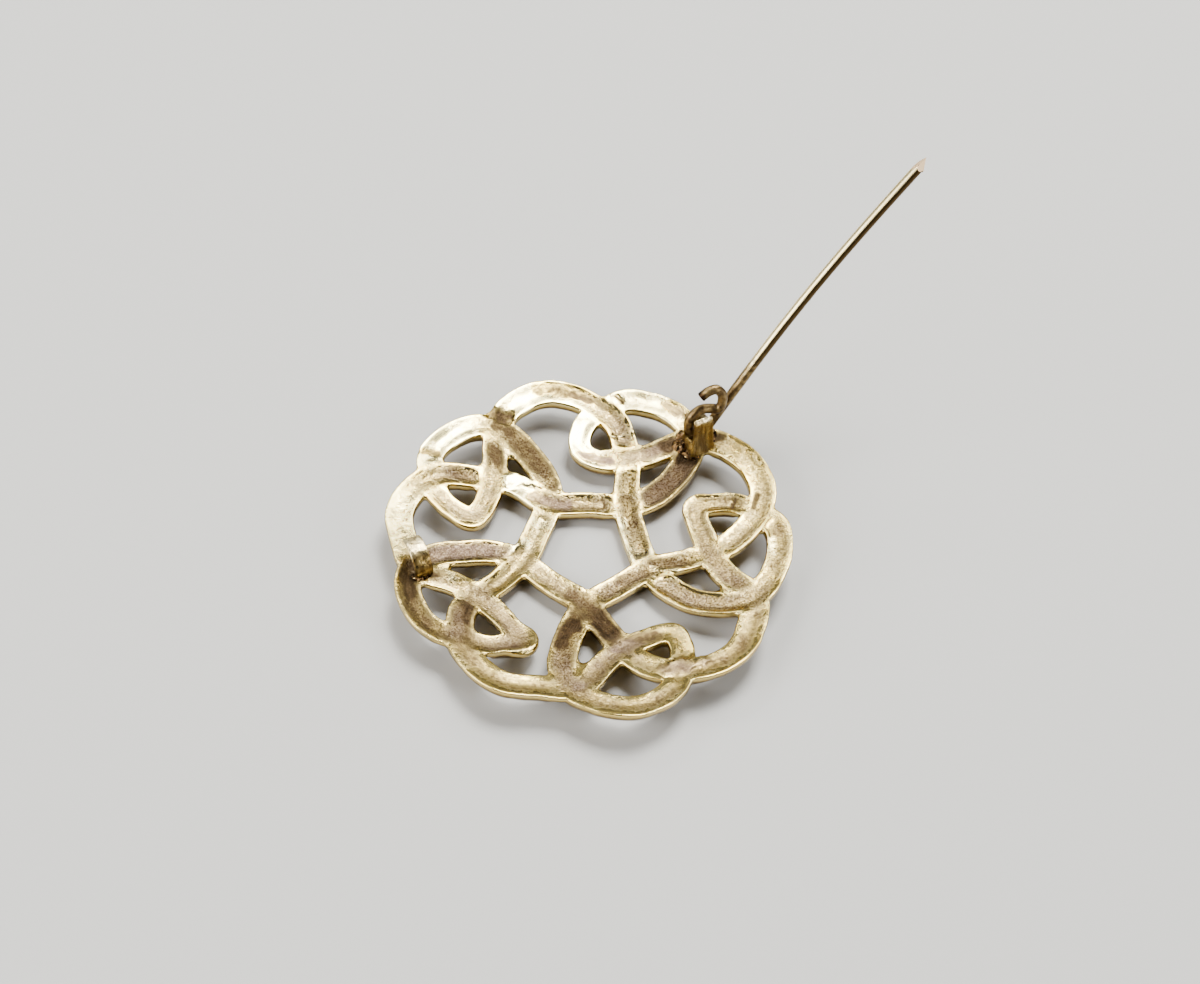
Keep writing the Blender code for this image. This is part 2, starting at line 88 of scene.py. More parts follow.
# unevenness of the cast back: height and length of each set of waves, its strength where the metal is
# polished, and what each share of grain adds to that
CAST_WAVES = [
    (0.000068, 0.0024, 1.0, 0.0),
    (0.000022, 0.0011, 0.3, 1.1),
    (0.000014, 0.00045, 0.08, 0.92),
    (0.000007, 0.00022, 0.0, 1.0),
]
# sideways wander of all outlines: reach, length and seed
OUTLINE_WAVES = [(0.00004, 0.0011, 5), (0.000014, 0.0004, 7)]
# how deep the foot of a post and of a mound of solder is sunk into the back
POST_SUNK = 0.0004
MOUND_SUNK = 0.00022
# dents of the hammered lug and catch, and the ragged border of a spot: height or share, length and seed
LUG_DENTS = [(0.000035, 0.00055, 11), (0.000008, 0.0002, 12)]
CATCH_DENTS = [(0.00003, 0.0007, 21), (0.000008, 0.00022, 22)]
SPOT_EDGE = [(0.35, 0.0007, 9), (0.20, 0.0003, 10)]
# directions in which the pin's ground facet and its side with painted brown shade face
GROUND_SIDE = np.array([0.30, -0.80, 0.50])
SHADED_SIDE = np.array([0.60, -0.62, -0.50])
# the pin's point: slopes of the planes that face GROUND_SIDE, away from it and to both sides of it, and where
# the four meet, away from GROUND_SIDE and back from the line's end (wire diameters)
POINT_SLOPES = (1.7, 3.2, 2.7, 2.7)
POINT_AT = (0.28, 0.05)
# how far the wire is bent round for the eye (degrees), and how far sideways it is then (eye radii)
EYE_TURN = 243.0
EYE_SHIFT = 0.10
# the lug: how far its middle lies inward of the axis (share of its width), the top of its far cheek (share of
# LUG_TOP), and how far the core runs into the cheeks
LUG_INWARD = 0.125
FAR_CHEEK_TOP = 0.32
CORE_SUNK = 0.0001
# sides of the wire, the lug's posts and core, the catch's strip and the solder's mounds
WIRE_SIDES = 28
POST_SIDES = 64
CORE_SIDES = 40
CATCH_SIDES = 48
MOUND_SIDES = 72
# rows over the pin's point, which starts at a share of the shaft, on the shaft's rest, round the eye, between
# the tail's points, on the core, and under and over a mound
POINT_ROWS = 60
POINT_START = 0.925
SHAFT_ROWS = 109
EYE_ROWS = 60
TAIL_ROWS = 8
CORE_ROWS = 12
MOUND_ROWS = (5, 21)
# power of a section's superellipse: 2 is round, and the more the squarer
ROUND = 2.0
POST_SQUARE = 7.0
CATCH_SQUARE = 6.0

# name, unit step, across, up (hundredths of the plate's radius), width share,
# shift to the left of travel in the top, right, lower right, lower left and left units (hundredths too)
SECTION = [
    ("lobe_rise", 0, -41.5, 80.5, 1.02, (2.2, 2.7, 0.2, -2.2, -2.5)),
    ("lobe_crest", 0, -26.5, 89.8, 1.00, (1.2, 2.0, 0.7, -0.6, -1.6)),
    ("lobe_fall", 0, -10.5, 91.0, 0.98, (-1.7, 1.0, 0.0, -0.5, -1.5)),
    ("over_rim", 0, 2.5, 85.5, 1.00, (-2.2, -0.5, 0.5, 0.7, -0.5)),
    ("right_side", 0, 10.0, 77.2, 1.02, (-1.0, -1.1, 1.4, 1.8, -0.2)),
    ("right_low", 0, 15.0, 68.0, 1.00, (-2.0, -1.1, 1.1, 2.2, -1.0)),
    ("under_base", 0, 17.0, 58.5, 1.00, (-1.0, -0.5, 0.7, 1.2, 1.0)),
    ("spoke_top", 0, 17.0, 48.0, 0.95, (0.0, 0.2, 0.5, 0.0, 3.2)),
    ("spoke_low", 0, 17.0, 38.5, 0.98, (0.0, 0.5, 1.0, 0.2, 2.2)),
    ("over_ring", 0, 18.0, 28.0, 1.00, (0.0, 0.0, 0.0, 0.0, 0.0)),
    ("bar", 1, -2.0, 26.2, 0.98, (1.7, -1.0, 0.7, 0.7, -0.2)),
    ("under_ring", 1, 18.0, 28.0, 1.00, (1.0, -1.0, 1.5, 0.0, 0.0)),
    ("sweep_low", 1, 30.5, 34.5, 1.03, (1.0, -1.7, 2.5, -1.2, 0.5)),
    ("sweep_mid", 1, 39.0, 45.0, 1.03, (0.0, -4.0, 0.0, -1.6, 1.0)),
    ("sweep_top", 1, 45.5, 57.0, 1.03, (-0.2, -3.2, -2.5, -2.5, 1.5)),
    ("over_join", 1, 48.0, 70.0, 1.00, (-0.5, -1.0, -3.0, -1.0, 1.8)),
    ("back_rise", 1, 42.5, 80.5, 0.95, (-0.5, 1.5, -3.2, 0.0, 1.5)),
    ("back_crest", 1, 32.5, 87.0, 0.94, (-1.0, 0.5, -5.5, 0.5, 0.7)),
    ("back_mid", 1, 22.0, 90.5, 0.92, (-0.2, -0.5, -4.7, 1.5, 0.2)),
    ("back_fall", 1, 12.0, 90.8, 0.95, (0.0, -1.5, -2.5, 3.7, 0.5)),
    ("under_rim", 1, 2.5, 85.5, 0.95, (0.5, -2.0, -0.5, 3.0, 1.0)),
    ("loop_top", 1, -6.0, 78.0, 0.87, (0.5, -2.0, 1.5, 0.5, 1.2)),
    ("loop_corner", 1, 0.0, 0.0, 0.84, None),
    ("loop_base", 1, 3.0, 56.5, 0.87, (-1.7, 1.0, 4.7, 3.2, -1.0)),
    ("over_base", 1, 17.0, 58.5, 0.93, (-1.5, -0.5, 2.0, 0.5, -0.2)),
    ("base_out", 1, 33.0, 64.0, 0.96, (-0.5, -1.6, 1.2, -1.5, 0.0)),
    ("under_join", 1, 48.0, 70.0, 1.00, (0.5, -0.5, 0.5, -1.0, -0.5)),
]
# the loop's corner in each unit: across, up, radius of the bend, how far its outer edge is drawn out
LOOP_CORNER = [
    (-14.5, 53.7, 0.80, 0.00),
    (-14.5, 57.5, 0.47, 0.22),
    (-10.0, 63.5, 0.46, 0.10),
    (-15.5, 64.0, 0.46, 0.50),
    (-12.0, 55.7, 0.52, 0.12),
]
CROSSINGS = [("over_rim", "under_rim"), ("over_base", "under_base"), ("over_ring", "under_ring"),
             ("over_join", "under_join")]
# the strip that leaves each pass of a crossing, and how many units on it belongs to
STRIP_AFTER = {"over_rim": ("side", 0), "under_base": ("spoke", 0), "over_ring": ("bar", 1),
               "under_ring": ("sweep", 0), "over_join": ("back", 0), "under_rim": ("loop", 0),
               "over_base": ("base", 0), "under_join": ("lobe", 1)}
CROSSING_NAMES = [pair[0] for pair in CROSSINGS]
OVER_OF = {under: over for over, under in CROSSINGS}
UNIT_NAMES = ("top", "right", "lower_right", "lower_left", "left")

# how each strip was left by the caster: depth of the channel (share), width of the left and right ridge
# (shares of the half width, left of travel), roundness of the channel, polish, grain, mauve tint, brown tint
DEPTH, LEFT, RIGHT, ROUNDNESS, POLISH, GRAIN, MAUVE, BROWN = range(8)
FINISH = {
    ("lobe", "top"): (0.15, 0.15, 0.20, 0.8, 1.00, 0.05, 0.00, 0.00),
    ("side", "top"): (0.55, 0.22, 0.20, 0.7, 0.30, 0.60, 0.55, 0.10),
    ("spoke", "top"): (0.60, 0.25, 0.25, 0.8, 0.50, 0.90, 0.10, 0.20),
    ("bar", "top"): (0.60, 0.20, 0.20, 0.7, 0.40, 0.60, 0.35, 0.00),
    ("sweep", "top"): (0.45, 0.12, 0.12, 0.3, 0.10, 0.90, 0.70, 0.60),
    ("back", "top"): (0.14, 0.20, 0.15, 0.8, 0.90, 0.15, 0.10, 0.10),
    ("loop", "top"): (0.12, 0.20, 0.20, 0.9, 0.95, 0.20, 0.15, 0.00),
    ("base", "top"): (-0.20, 0.20, 0.20, 0.9, 0.25, 0.40, 0.70, 0.15),
    ("lobe", "right"): (0.24, 0.15, 0.15, 0.8, 0.50, 0.45, 0.05, 0.05),
    ("side", "right"): (0.45, 0.20, 0.15, 0.8, 0.60, 0.50, 0.30, 0.00),
    ("spoke", "right"): (0.60, 0.30, 0.25, 0.7, 0.45, 0.90, 0.15, 0.15),
    ("bar", "right"): (0.60, 0.20, 0.20, 0.7, 0.95, 0.90, 0.35, 0.00),
    ("sweep", "right"): (0.65, 0.20, 0.25, 0.5, 0.35, 0.70, 0.55, 0.00),
    ("back", "right"): (0.28, 0.15, 0.15, 0.8, 0.42, 0.50, 0.05, 0.05),
    ("loop", "right"): (0.45, 0.15, 0.15, 0.6, 0.40, 0.50, 0.25, 0.10),
    ("base", "right"): (0.30, 0.12, 0.15, 0.6, 0.20, 0.60, 0.40, 0.15),
    ("lobe", "lower_right"): (0.34, 0.12, 0.10, 1.0, 0.14, 0.25, 0.05, 0.15),
    ("side", "lower_right"): (0.18, 0.10, 0.10, 1.0, 0.50, 0.20, 0.10, 0.00),
    ("spoke", "lower_right"): (0.40, 0.25, 0.15, 0.8, 0.05, 0.80, 0.15, 1.00),
    ("bar", "lower_right"): (0.55, 0.25, 0.20, 0.7, 0.35, 0.70, 0.50, 0.10),
    ("sweep", "lower_right"): (0.20, 0.10, 0.10, 0.8, 0.25, 0.80, 0.20, 0.45),
    ("back", "lower_right"): (0.30, 0.10, 0.15, 1.0, 0.30, 0.35, 0.15, 0.05),
    ("loop", "lower_right"): (0.22, 0.12, 0.12, 1.0, 0.50, 0.10, 0.05, 0.00),
    ("base", "lower_right"): (0.35, 0.10, 0.10, 0.8, 0.25, 0.40, 0.50, 0.30),
    ("lobe", "lower_left"): (0.36, 0.12, 0.10, 1.0, 0.35, 0.10, 0.00, 0.05),
    ("side", "lower_left"): (-0.20, 0.15, 0.15, 1.0, 0.00, 0.70, 0.35, 1.00),
    ("spoke", "lower_left"): (0.70, 0.35, 0.15, 0.8, 0.45, 0.30, 0.15, 0.00),
    ("bar", "lower_left"): (0.40, 0.20, 0.20, 0.8, 0.45, 0.50, 0.35, 0.00),
    ("sweep", "lower_left"): (0.50, 0.25, 0.08, 0.5, 0.10, 0.50, 0.90, 0.20),
    ("back", "lower_left"): (0.80, 0.10, 0.12, 1.0, 0.20, 0.70, 0.10, 0.55),
    ("loop", "lower_left"): (0.40, 0.10, 0.25, 0.6, 0.25, 0.40, 0.60, 0.20),
    ("base", "lower_left"): (-0.10, 0.15, 0.15, 0.8, 0.50, 0.60, 0.30, 0.00),
    ("lobe", "left"): (0.18, 0.12, 0.12, 1.0, 0.84, 0.25, 0.00, 0.00),
    ("side", "left"): (0.60, 0.25, 0.30, 0.8, 0.30, 0.70, 0.50, 0.10),
    ("spoke", "left"): (0.12, 0.20, 0.20, 0.8, 1.00, 0.20, 0.05, 0.00),
    ("bar", "left"): (0.50, 0.20, 0.25, 0.8, 0.70, 0.60, 0.20, 0.15),
    ("sweep", "left"): (0.20, 0.12, 0.12, 0.8, 0.10, 1.00, 0.20, 0.65),
    ("back", "left"): (0.20, 0.15, 0.15, 0.8, 1.00, 0.20, 0.00, 0.00),
    ("loop", "left"): (0.30, 0.15, 0.28, 1.0, 0.50, 0.50, 0.45, 0.00),
    ("base", "left"): (0.34, 0.20, 0.20, 0.9, 0.50, 0.70, 0.20, 0.30),
}

# shares of a strip's length between which its finish is its own, and not on its way to the next one's
STRIP_OWN = (0.30, 0.70)
# polish of the walls and the front, and the shares that they keep of the strip's grain and brown
UNDER_POLISH, UNDER_GRAIN, UNDER_BROWN = 0.7, 0.3, 0.3

# how far the lower strip's channel runs on through the ridges of the upper one, for the five units
RUNS_ON = {"over_rim": (0.15, 0.20, 0.60, 0.65, 0.25), "over_base": (0.10, 0.35, 0.45, 0.70, 0.15),
           "over_ring": (0.15, 0.20, 0.35, 0.45, 0.20), "over_join": (0.10, 0.45, 0.50, 0.30, 0.35)}

# webs in the crossings' corners: reach along the strips, its change from web to web, the reach between sweep
# and base where they meet at the join (for the five units), how deep the inner end is sunk into the ridges,
# and how far the underside stays above the strips' lower edges
WEB_REACH = 0.00060
WEB_REACH_CHANGE = 0.00025
JOIN_WEB = (0.0007, 0.0021, 0.0023, 0.0019, 0.0018)
WEB_SUNK = 0.00007
WEB_RAISED = 0.00004

# marks on the back, each a capsule between two points (hundredths of the plate's radius) with a half width:
# brown scale, change of polish, change of mauve, lift in units of SPOT_LIFT
SPOT_LIFT = 0.00001
SPOTS = [
    (-55.5, 74.1, -46.6, 72.4, 3.5, 1.0, -0.8, 0.0, -25),
    (-51.6, 67.2, -42.6, 64.2, 3.0, 0.7, -0.4, 0.0, 0),
    (-32.2, 92.6, -5.2, 92.5, 4.0, 0.35, -0.8, 0.0, -3),
    (-14.0, 92.5, -0.8, 89.5, 3.0, 0.30, -0.7, 0.1, -3),
    (-88.4, 42.5, -79.6, 43.7, 2.0, 0.8, -0.5, 0.0, -8),
    (-69.3, 37.9, -64.1, 31.9, 3.5, 0.45, -0.3, 0.0, 0),
    (-52.5, 52.6, -44.7, 42.2, 3.5, 0.7, -0.4, 0.0, -6),
    (-2.1, -32.1, 9.8, -44.3, 7.0, 0.5, -0.3, 0.0, -4),
    (13.9, -50.1, 36.0, -52.0, 4.0, 0.7, -0.4, 0.1, 0),
    (12.8, -55.2, 29.4, -60.0, 5.0, 0.1, -0.2, 0.5, 0),
    (-11.3, -58.3, -3.2, -47.8, 6.0, 1.0, -0.5, -0.3, -4),
    (9.7, -56.8, 21.2, -45.7, 5.0, 0.8, -0.5, 0.0, -3),
    (-6.2, -34.5, 4.4, -42.5, 5.0, 0.8, -0.4, 0.0, -2),
    (-10.5, -67.6, 0.8, -81.7, 5.0, 0.0, 0.0, 0.5, 0),
    (35.9, 65.3, 47.6, 56.2, 4.5, 1.0, -0.8, 0.0, 4),
    (53.9, 69.4, 62.7, 73.0, 3.0, 0.8, -0.6, 0.0, 0),
    (43.4, 58.5, 52.6, 56.4, 3.0, 1.0, -0.8, 0.0, 0),
    (81.6, 37.0, 80.3, 29.9, 1.3, 0.8, -0.6, 0.0, -10),
    (7.2, 92.6, 11.1, 89.5, 0.7, 1.0, -0.9, 0.0, -14),
    (71.4, 34.9, 69.6, 30.1, 1.0, 0.9, -0.8, 0.0, -18),
    (5.4, 33.5, 6.5, 27.0, 0.5, 0.9, -0.6, 0.0, -10),
    (42.8, -71.5, 57.3, -64.7, 4.0, 0.0, -0.25, 0.5, 20),
    (-39.1, -73.3, -19.3, -62.8, 2.0, 0.3, 0.0, 0.0, 14),
    (-85.6, -32.1, -79.4, -42.8, 4.0, 0.9, -0.3, 0.0, 0),
    (-79.5, -32.2, -68.2, -27.3, 3.0, 0.9, -0.3, 0.0, 0),
    (36.3, 89.4, 43.3, 85.6, 4.0, 0.2, -0.5, 0.3, 0),
    (-8.1, 56.0, 7.4, 53.6, 2.5, 0.0, -0.6, 0.6, 0),
    (8.1, 69.2, 17.1, 72.4, 1.3, 0.0, 0.5, 0.0, 14),
    (88.5, 9.0, 89.6, 1.6, 3.0, 0.0, 0.4, 0.0, 0),
    (87.1, 28.4, 92.2, 14.9, 3.5, 0.0, -0.2, 0.0, 0),
    (77.4, -33.6, 77.1, -43.5, 4.5, 0.0, 0.35, 0.0, 0),
    (-40.5, 35.7, -24.3, 39.8, 4.5, 0.0, 0.3, 0.0, 10),
    (-27.1, 43.0, -18.6, 38.3, 1.6, 0.3, -0.7, 0.0, -14),
    (-22.5, 36.5, -17.0, 32.5, 1.2, 0.3, -0.5, 0.0, -10),
    (-28.1, 27.6, -12.9, 25.2, 4.0, 0.1, -0.6, 0.5, -5),
    (-26.6, 12.6, -18.2, 12.7, 3.0, 0.0, 0.15, 0.0, 0),
    (-60.5, -42.9, -56.4, -60.8, 4.5, 0.0, 0.1, 0.3, 0),
    (-42.3, -10.8, -34.8, -3.1, 3.0, 0.0, 0.3, 0.0, 8),
    (-36.1, -5.2, -29.7, -0.3, 2.5, 0.0, 0.3, 0.0, 7),
    (18.1, 31.7, 21.9, 19.9, 4.5, 0.5, -0.3, 0.0, 0),
    (23.1, 16.9, 26.8, 4.9, 4.5, 0.5, -0.3, 0.0, 0),
    (33.6, -3.8, 50.6, -4.3, 3.0, 0.45, -0.3, 0.0, 0),
    (31.4, -7.7, 46.0, -9.4, 1.5, 0.0, 0.4, 0.0, 10),
    (17.5, -17.4, 29.2, -11.5, 3.0, 0.4, -0.3, 0.0, 0),
    (-84.9, -43.2, -73.8, -55.8, 5.0, 0.3, -0.2, 0.0, 0),
    (-68.6, -24.9, -60.7, -30.4, 3.0, 0.0, 0.35, 0.0, 0),
]

# the pin's tail after the eye, in eye radii: along and up in the pin's plane, and sideways to the near face
TAIL = [
    (0.655, 0.900, 0.20),
    (1.120, 0.940, 0.44),
    (1.362, 1.459, 0.40),
    (1.314, 2.057, 0.34),
    (0.934, 2.507, 0.24),
    (0.508, 2.470, 0.14),
    (0.220, 2.310, 0.08),
    (-0.100, 2.060, 0.03),
]
# the catch's strip from foot to free end: shares of its reach and of its height
CATCH_PATH = [
    (-0.02, -0.42),
    (-0.08, 0.12),
    (-0.08, 0.45),
    (0.10, 0.74),
    (0.38, 0.94),
    (0.68, 0.97),
    (0.92, 0.84),
    (1.00, 0.68),
]


def lattice_noise(points, cell, seed):
    """Smooth noise from -1 to 1: scrambled values at a lattice's corners, blended with eased weights."""
    place = np.asarray(points)/cell + 37.13*seed
    low = np.floor(place).astype(np.int64)
    part = place - low
    part = part*part*(3.0 - 2.0*part)
    total = np.zeros(place.shape[:-1])
    sides = place.shape[-1]
    for corner in np.ndindex(*(2,)*sides):
        key = np.full(total.shape, 1013*seed + 7, dtype=np.int64)
        weight = np.ones(total.shape)
        for axis, step in enumerate(corner):
            key = (key ^ (low[..., axis] + step))*1274126177 & 0x7fffffff
            key = key ^ (key >> 13)
            weight = weight*(part[..., axis] if step else 1.0 - part[..., axis])
        key = key*1103515245 & 0x7fffffff
        total += weight*((key >> 7 & 0xffff)/32767.5 - 1.0)
    return total


def waves(points, table):
    """Sum of noises, each with a height, a length and a seed from the table."""
    return sum(height*lattice_noise(points, cell, seed) for height, cell, seed in table)


def unit_vector(v):
    """The vector, or each row of vectors, divided by its length."""
    return v/np.linalg.norm(v, axis=-1)[..., None]


def ramp(value, low, high):
    """0 up to low, 1 from high on, and even in between."""
    return np.clip((value - low)/(high - low), 0.0, 1.0)


def eased(t):
    """A ramp from 0 to 1 with soft ends: 3 t squared less 2 t cubed."""
    return t*t*(3.0 - 2.0*t)


def turned(point, unit):
    """The point turned clockwise by a number of units."""
    a = -UNIT_TURN*unit
    c, s = np.cos(a), np.sin(a)
    return np.array([c*point[0] - s*point[1], s*point[0] + c*point[1]])


class ClosedCurve:
    """Periodic cubic spline through rows of values; the first two columns set the spacing."""

    def __init__(self, values):
        self.values = values
        ahead = np.roll(values[:, :2], -1, axis=0) - values[:, :2]
        self.step = (np.hypot(ahead[:, 0], ahead[:, 1])/PLATE_RADIUS)**0.8
        self.knot = np.concatenate([[0.0], np.cumsum(self.step)])
        self.length = self.knot[-1]
        n = len(values)
        before = np.roll(self.step, 1)
        slope = (np.roll(values, -1, axis=0) - values)/self.step[:, None]
        rows = np.arange(n)
        matrix = np.zeros((n, n))
        matrix[rows, rows] = 2.0*(before + self.step)
        matrix[rows, (rows - 1) % n] += before
        matrix[rows, (rows + 1) % n] += self.step
        self.curl = np.linalg.solve(matrix, 6.0*(slope - np.roll(slope, 1, axis=0)))

    def at(self, place):
        """The spline's values at a place: the cubic between the two knots beside it."""
        place = np.asarray(place, float) % self.length
        i = np.clip(np.searchsorted(self.knot, place, side="right") - 1, 0, len(self.step) - 1)
        j = (i + 1) % len(self.step)
        h = self.step[i][..., None]
        t = (place - self.knot[i])[..., None]
        s = h - t
        return ((self.curl[i]*s**3 + self.curl[j]*t**3)/(6.0*h)
                + (self.values[i]/h - self.curl[i]*h/6.0)*s
                + (self.values[j]/h - self.curl[j]*h/6.0)*t)


def strand_rows():
    """Control points of the strand as rows of x, y, half width, outer point; and their (name, unit)."""
    share = PLATE_RADIUS/100.0
    base = []
    names = []
    for turn in range(UNITS):
        for name, step, across, up, width, shift in SECTION:
            unit = (2*turn + step) % UNITS
            if shift is None:
                across, up = LOOP_CORNER[unit][:2]
            base.append(turned((across*share, up*share), unit))
            names.append((name, unit, 0.5*STRAND_WIDTH*width, shift))
    base = np.array(base)
    ahead = unit_vector(np.roll(base, -1, axis=0) - np.roll(base, 1, axis=0))
    left = np.stack([-ahead[:, 1], ahead[:, 0]], axis=1)
    moved = base.copy()
    for i, (name, unit, half, shift) in enumerate(names):
        if shift is not None:
            moved[i] += left[i]*shift[unit]*share
    rows = []
    keys = []
    for i, (name, unit, half, shift) in enumerate(names):
        if shift is not None:
            rows.append([moved[i, 0], moved[i, 1], half, 0.0])
            keys.append((name, unit))
            continue
        bend, drawn = LOOP_CORNER[unit][2:]
        side = unit_vector(moved[i - 1] - moved[i])
        floor = unit_vector(moved[i + 1] - moved[i])
        middle = unit_vector(side + floor)
        half_angle = 0.5*np.arccos(np.clip(side @ floor, -1.0, 1.0))
        radius = bend*STRAND_WIDTH
        reach = radius/np.tan(half_angle)
        inner = radius/np.sin(half_angle) - radius
        out = drawn*STRAND_WIDTH
        for where, extra, key in ((moved[i] + side*reach, 0.2*out, "corner_in"),
                                  (moved[i] + middle*inner, out, "corner"),
                                  (moved[i] + floor*reach, 0.2*out, "corner_out")):
            rows.append([where[0], where[1], half, extra])
            keys.append((key, unit))
    return np.array(rows), keys


def lane_point(curve, place, across):
    """Plan position at a place along the strand and across it, from -1 (right edge) to 1 (left edge)."""
    nudge = curve.length*1e-6
    here = curve.at(place)
    ahead = unit_vector(curve.at(place + nudge)[..., :2] - curve.at(place - nudge)[..., :2])
    left = np.stack([-ahead[..., 1], ahead[..., 0]], axis=-1)
    drawn = np.where(across < 0.0, np.maximum(here[..., 3], 0.0), 0.0)
    return here[..., :2] + left*(across*(here[..., 2] + drawn))[..., None]


def meeting_places(curve, place_a, place_b, across_a, across_b):
    """Newton's method for the places where a lane of one pass meets a lane of the other."""
    nudge = curve.length*1e-6
    for _ in range(12):
        gap = lane_point(curve, place_a, across_a) - lane_point(curve, place_b, across_b)
        da = (lane_point(curve, place_a + nudge, across_a)
              - lane_point(curve, place_a - nudge, across_a))/(2.0*nudge)
        db = (lane_point(curve, place_b + nudge, across_b)
              - lane_point(curve, place_b - nudge, across_b))/(2.0*nudge)
        det = db[..., 0]*da[..., 1] - da[..., 0]*db[..., 1]
        place_a = place_a + (gap[..., 0]*db[..., 1] - gap[..., 1]*db[..., 0])/det
        place_b = place_b + (gap[..., 0]*da[..., 1] - gap[..., 1]*da[..., 0])/det
    return place_a, place_b


def dome(plan):
    """The back's bowl: its rise times the square of the radius, zero at the ring's inner edge."""
    r2 = (plan[..., 0]**2 + plan[..., 1]**2)/PLATE_RADIUS**2
    return DOME_RISE*(r2 - RING_SHARE**2)


def lane_shares(count):
    """Places across the strand, closer together towards its edges: t times (1.3 less 0.3 t squared)."""
    t = np.linspace(-1.0, 1.0, count)
    return t*(1.3 - 0.3*t*t)


def trough(across, left, right, round_share):
    """0 on the ridges and 1 on the channel's floor; the slope between them widens with round_share."""
    start = 0.40*np.where(across > 0.0, left, right)
    return eased(ramp(1.0 - np.abs(across), start, start + 0.42 + 0.55*round_share))


def edge_drop(across):
    """Share by which the outer edge is rounded off: a quarter circle over the last tenth of the width."""
    t = ramp(np.abs(across), 1.0 - 2.0*EDGE_ROUND/STRAND_WIDTH, 1.0)
    return 1.0 - np.sqrt(np.maximum(1.0 - t*t, 0.0))


def casting_waves(plan, grain):
    """Unevenness of the cast back: long waves, shorter ones, and grain where it wasn't polished."""
    return sum(height*lattice_noise(plan, cell, seed)*(smooth + grainy*grain)
               for seed, (height, cell, smooth, grainy) in enumerate(CAST_WAVES, 1))


def spot_weights(plan):
    """For each spot, its four changes and its weight: 1 inside its capsule, 0 outside, its border ragged."""
    hundredth = PLATE_RADIUS/100.0
    ragged = waves(plan, SPOT_EDGE)
    for x0, y0, x1, y1, width, *changes in SPOTS:
        start = hundredth*np.array([x0, y0])
        run = hundredth*np.array([x1, y1]) - start
        share = np.clip(((plan - start) @ run)/(run @ run), 0.0, 1.0)
        away = np.linalg.norm(plan - start - share[..., None]*run, axis=-1)/(width*hundredth)
        yield changes, 1.0 - eased(ramp(away + ragged*min(1.0, width/2.0), 0.6, 1.35))


def with_spots(plan, finish, channel, under):
    """The marks polish, grain, mauve and brown with the spots added, then channel and the share of painted
    underside shade.

    The second result is the spots' lift of the surface. A spot that adds polish rubs half the brown away.
    """
    polish, grain, mauve, brown = [finish[..., k].copy() for k in (POLISH, GRAIN, MAUVE, BROWN)]
    lift = np.zeros(polish.shape)
    for (scale, shine, bloom, rise), weight in spot_weights(plan):
        brown = np.maximum(brown*(1.0 - 0.5*weight*(shine > 0.0)), scale*weight)
        polish = polish + shine*weight
        mauve = mauve + bloom*weight
        lift = lift + SPOT_LIFT*rise*weight
    columns = [np.clip(part, 0.0, 1.0) for part in (polish, grain, mauve, brown)]
    columns += [channel + 0.0*polish, under + 0.0*polish]
    return np.stack(columns, axis=-1), lift


def wander(plan):
    """Small sideways wander of all outlines, the same function of the plan for every surface."""
    moved = plan
    for reach, cell, seed in OUTLINE_WAVES:
        sideways = [lattice_noise(plan, cell, seed), lattice_noise(plan, cell, seed + 1)]
        moved = moved + np.stack(sideways, axis=-1)*reach
    return moved


def channel_of(across, finish):
    """The channel's share of its full depth, and how deep that is in metres."""
    channel = trough(across, finish[..., LEFT], finish[..., RIGHT], finish[..., ROUNDNESS])
    return channel, CHANNEL_DEPTH*finish[..., DEPTH]*channel


def back_height(plan, finish, channel, depth, edge):
    """The back: the bowl, less the channel and the rounded edge, plus the cast unevenness and the spots."""
    marks, lift = with_spots(plan, finish, channel, 0.0)
    height = HEIGHT_OF_BACK + dome(plan) - depth - EDGE_ROUND*edge
    return height + casting_waves(plan, finish[..., GRAIN]) + lift, marks


def front_height(plan, across, swell):
    """The front: a rounded band that swells with `swell`, rubbed flat where it would pass below zero.

    The band's share of its bulge is (1 less across to the power 1.8) to the power 0.8.
    """
    rounded = (1.0 - np.abs(across)**1.8)**0.8
    return np.maximum(HEIGHT_OF_BACK + dome(plan) - EDGE_THICKNESS - FRONT_BULGE*swell*rounded, 0.0)


def strand_place(place, across):
    """Texture place in metres, along the strand and across it."""
    return np.dstack([place*PLATE_RADIUS, across*0.5*STRAND_WIDTH])


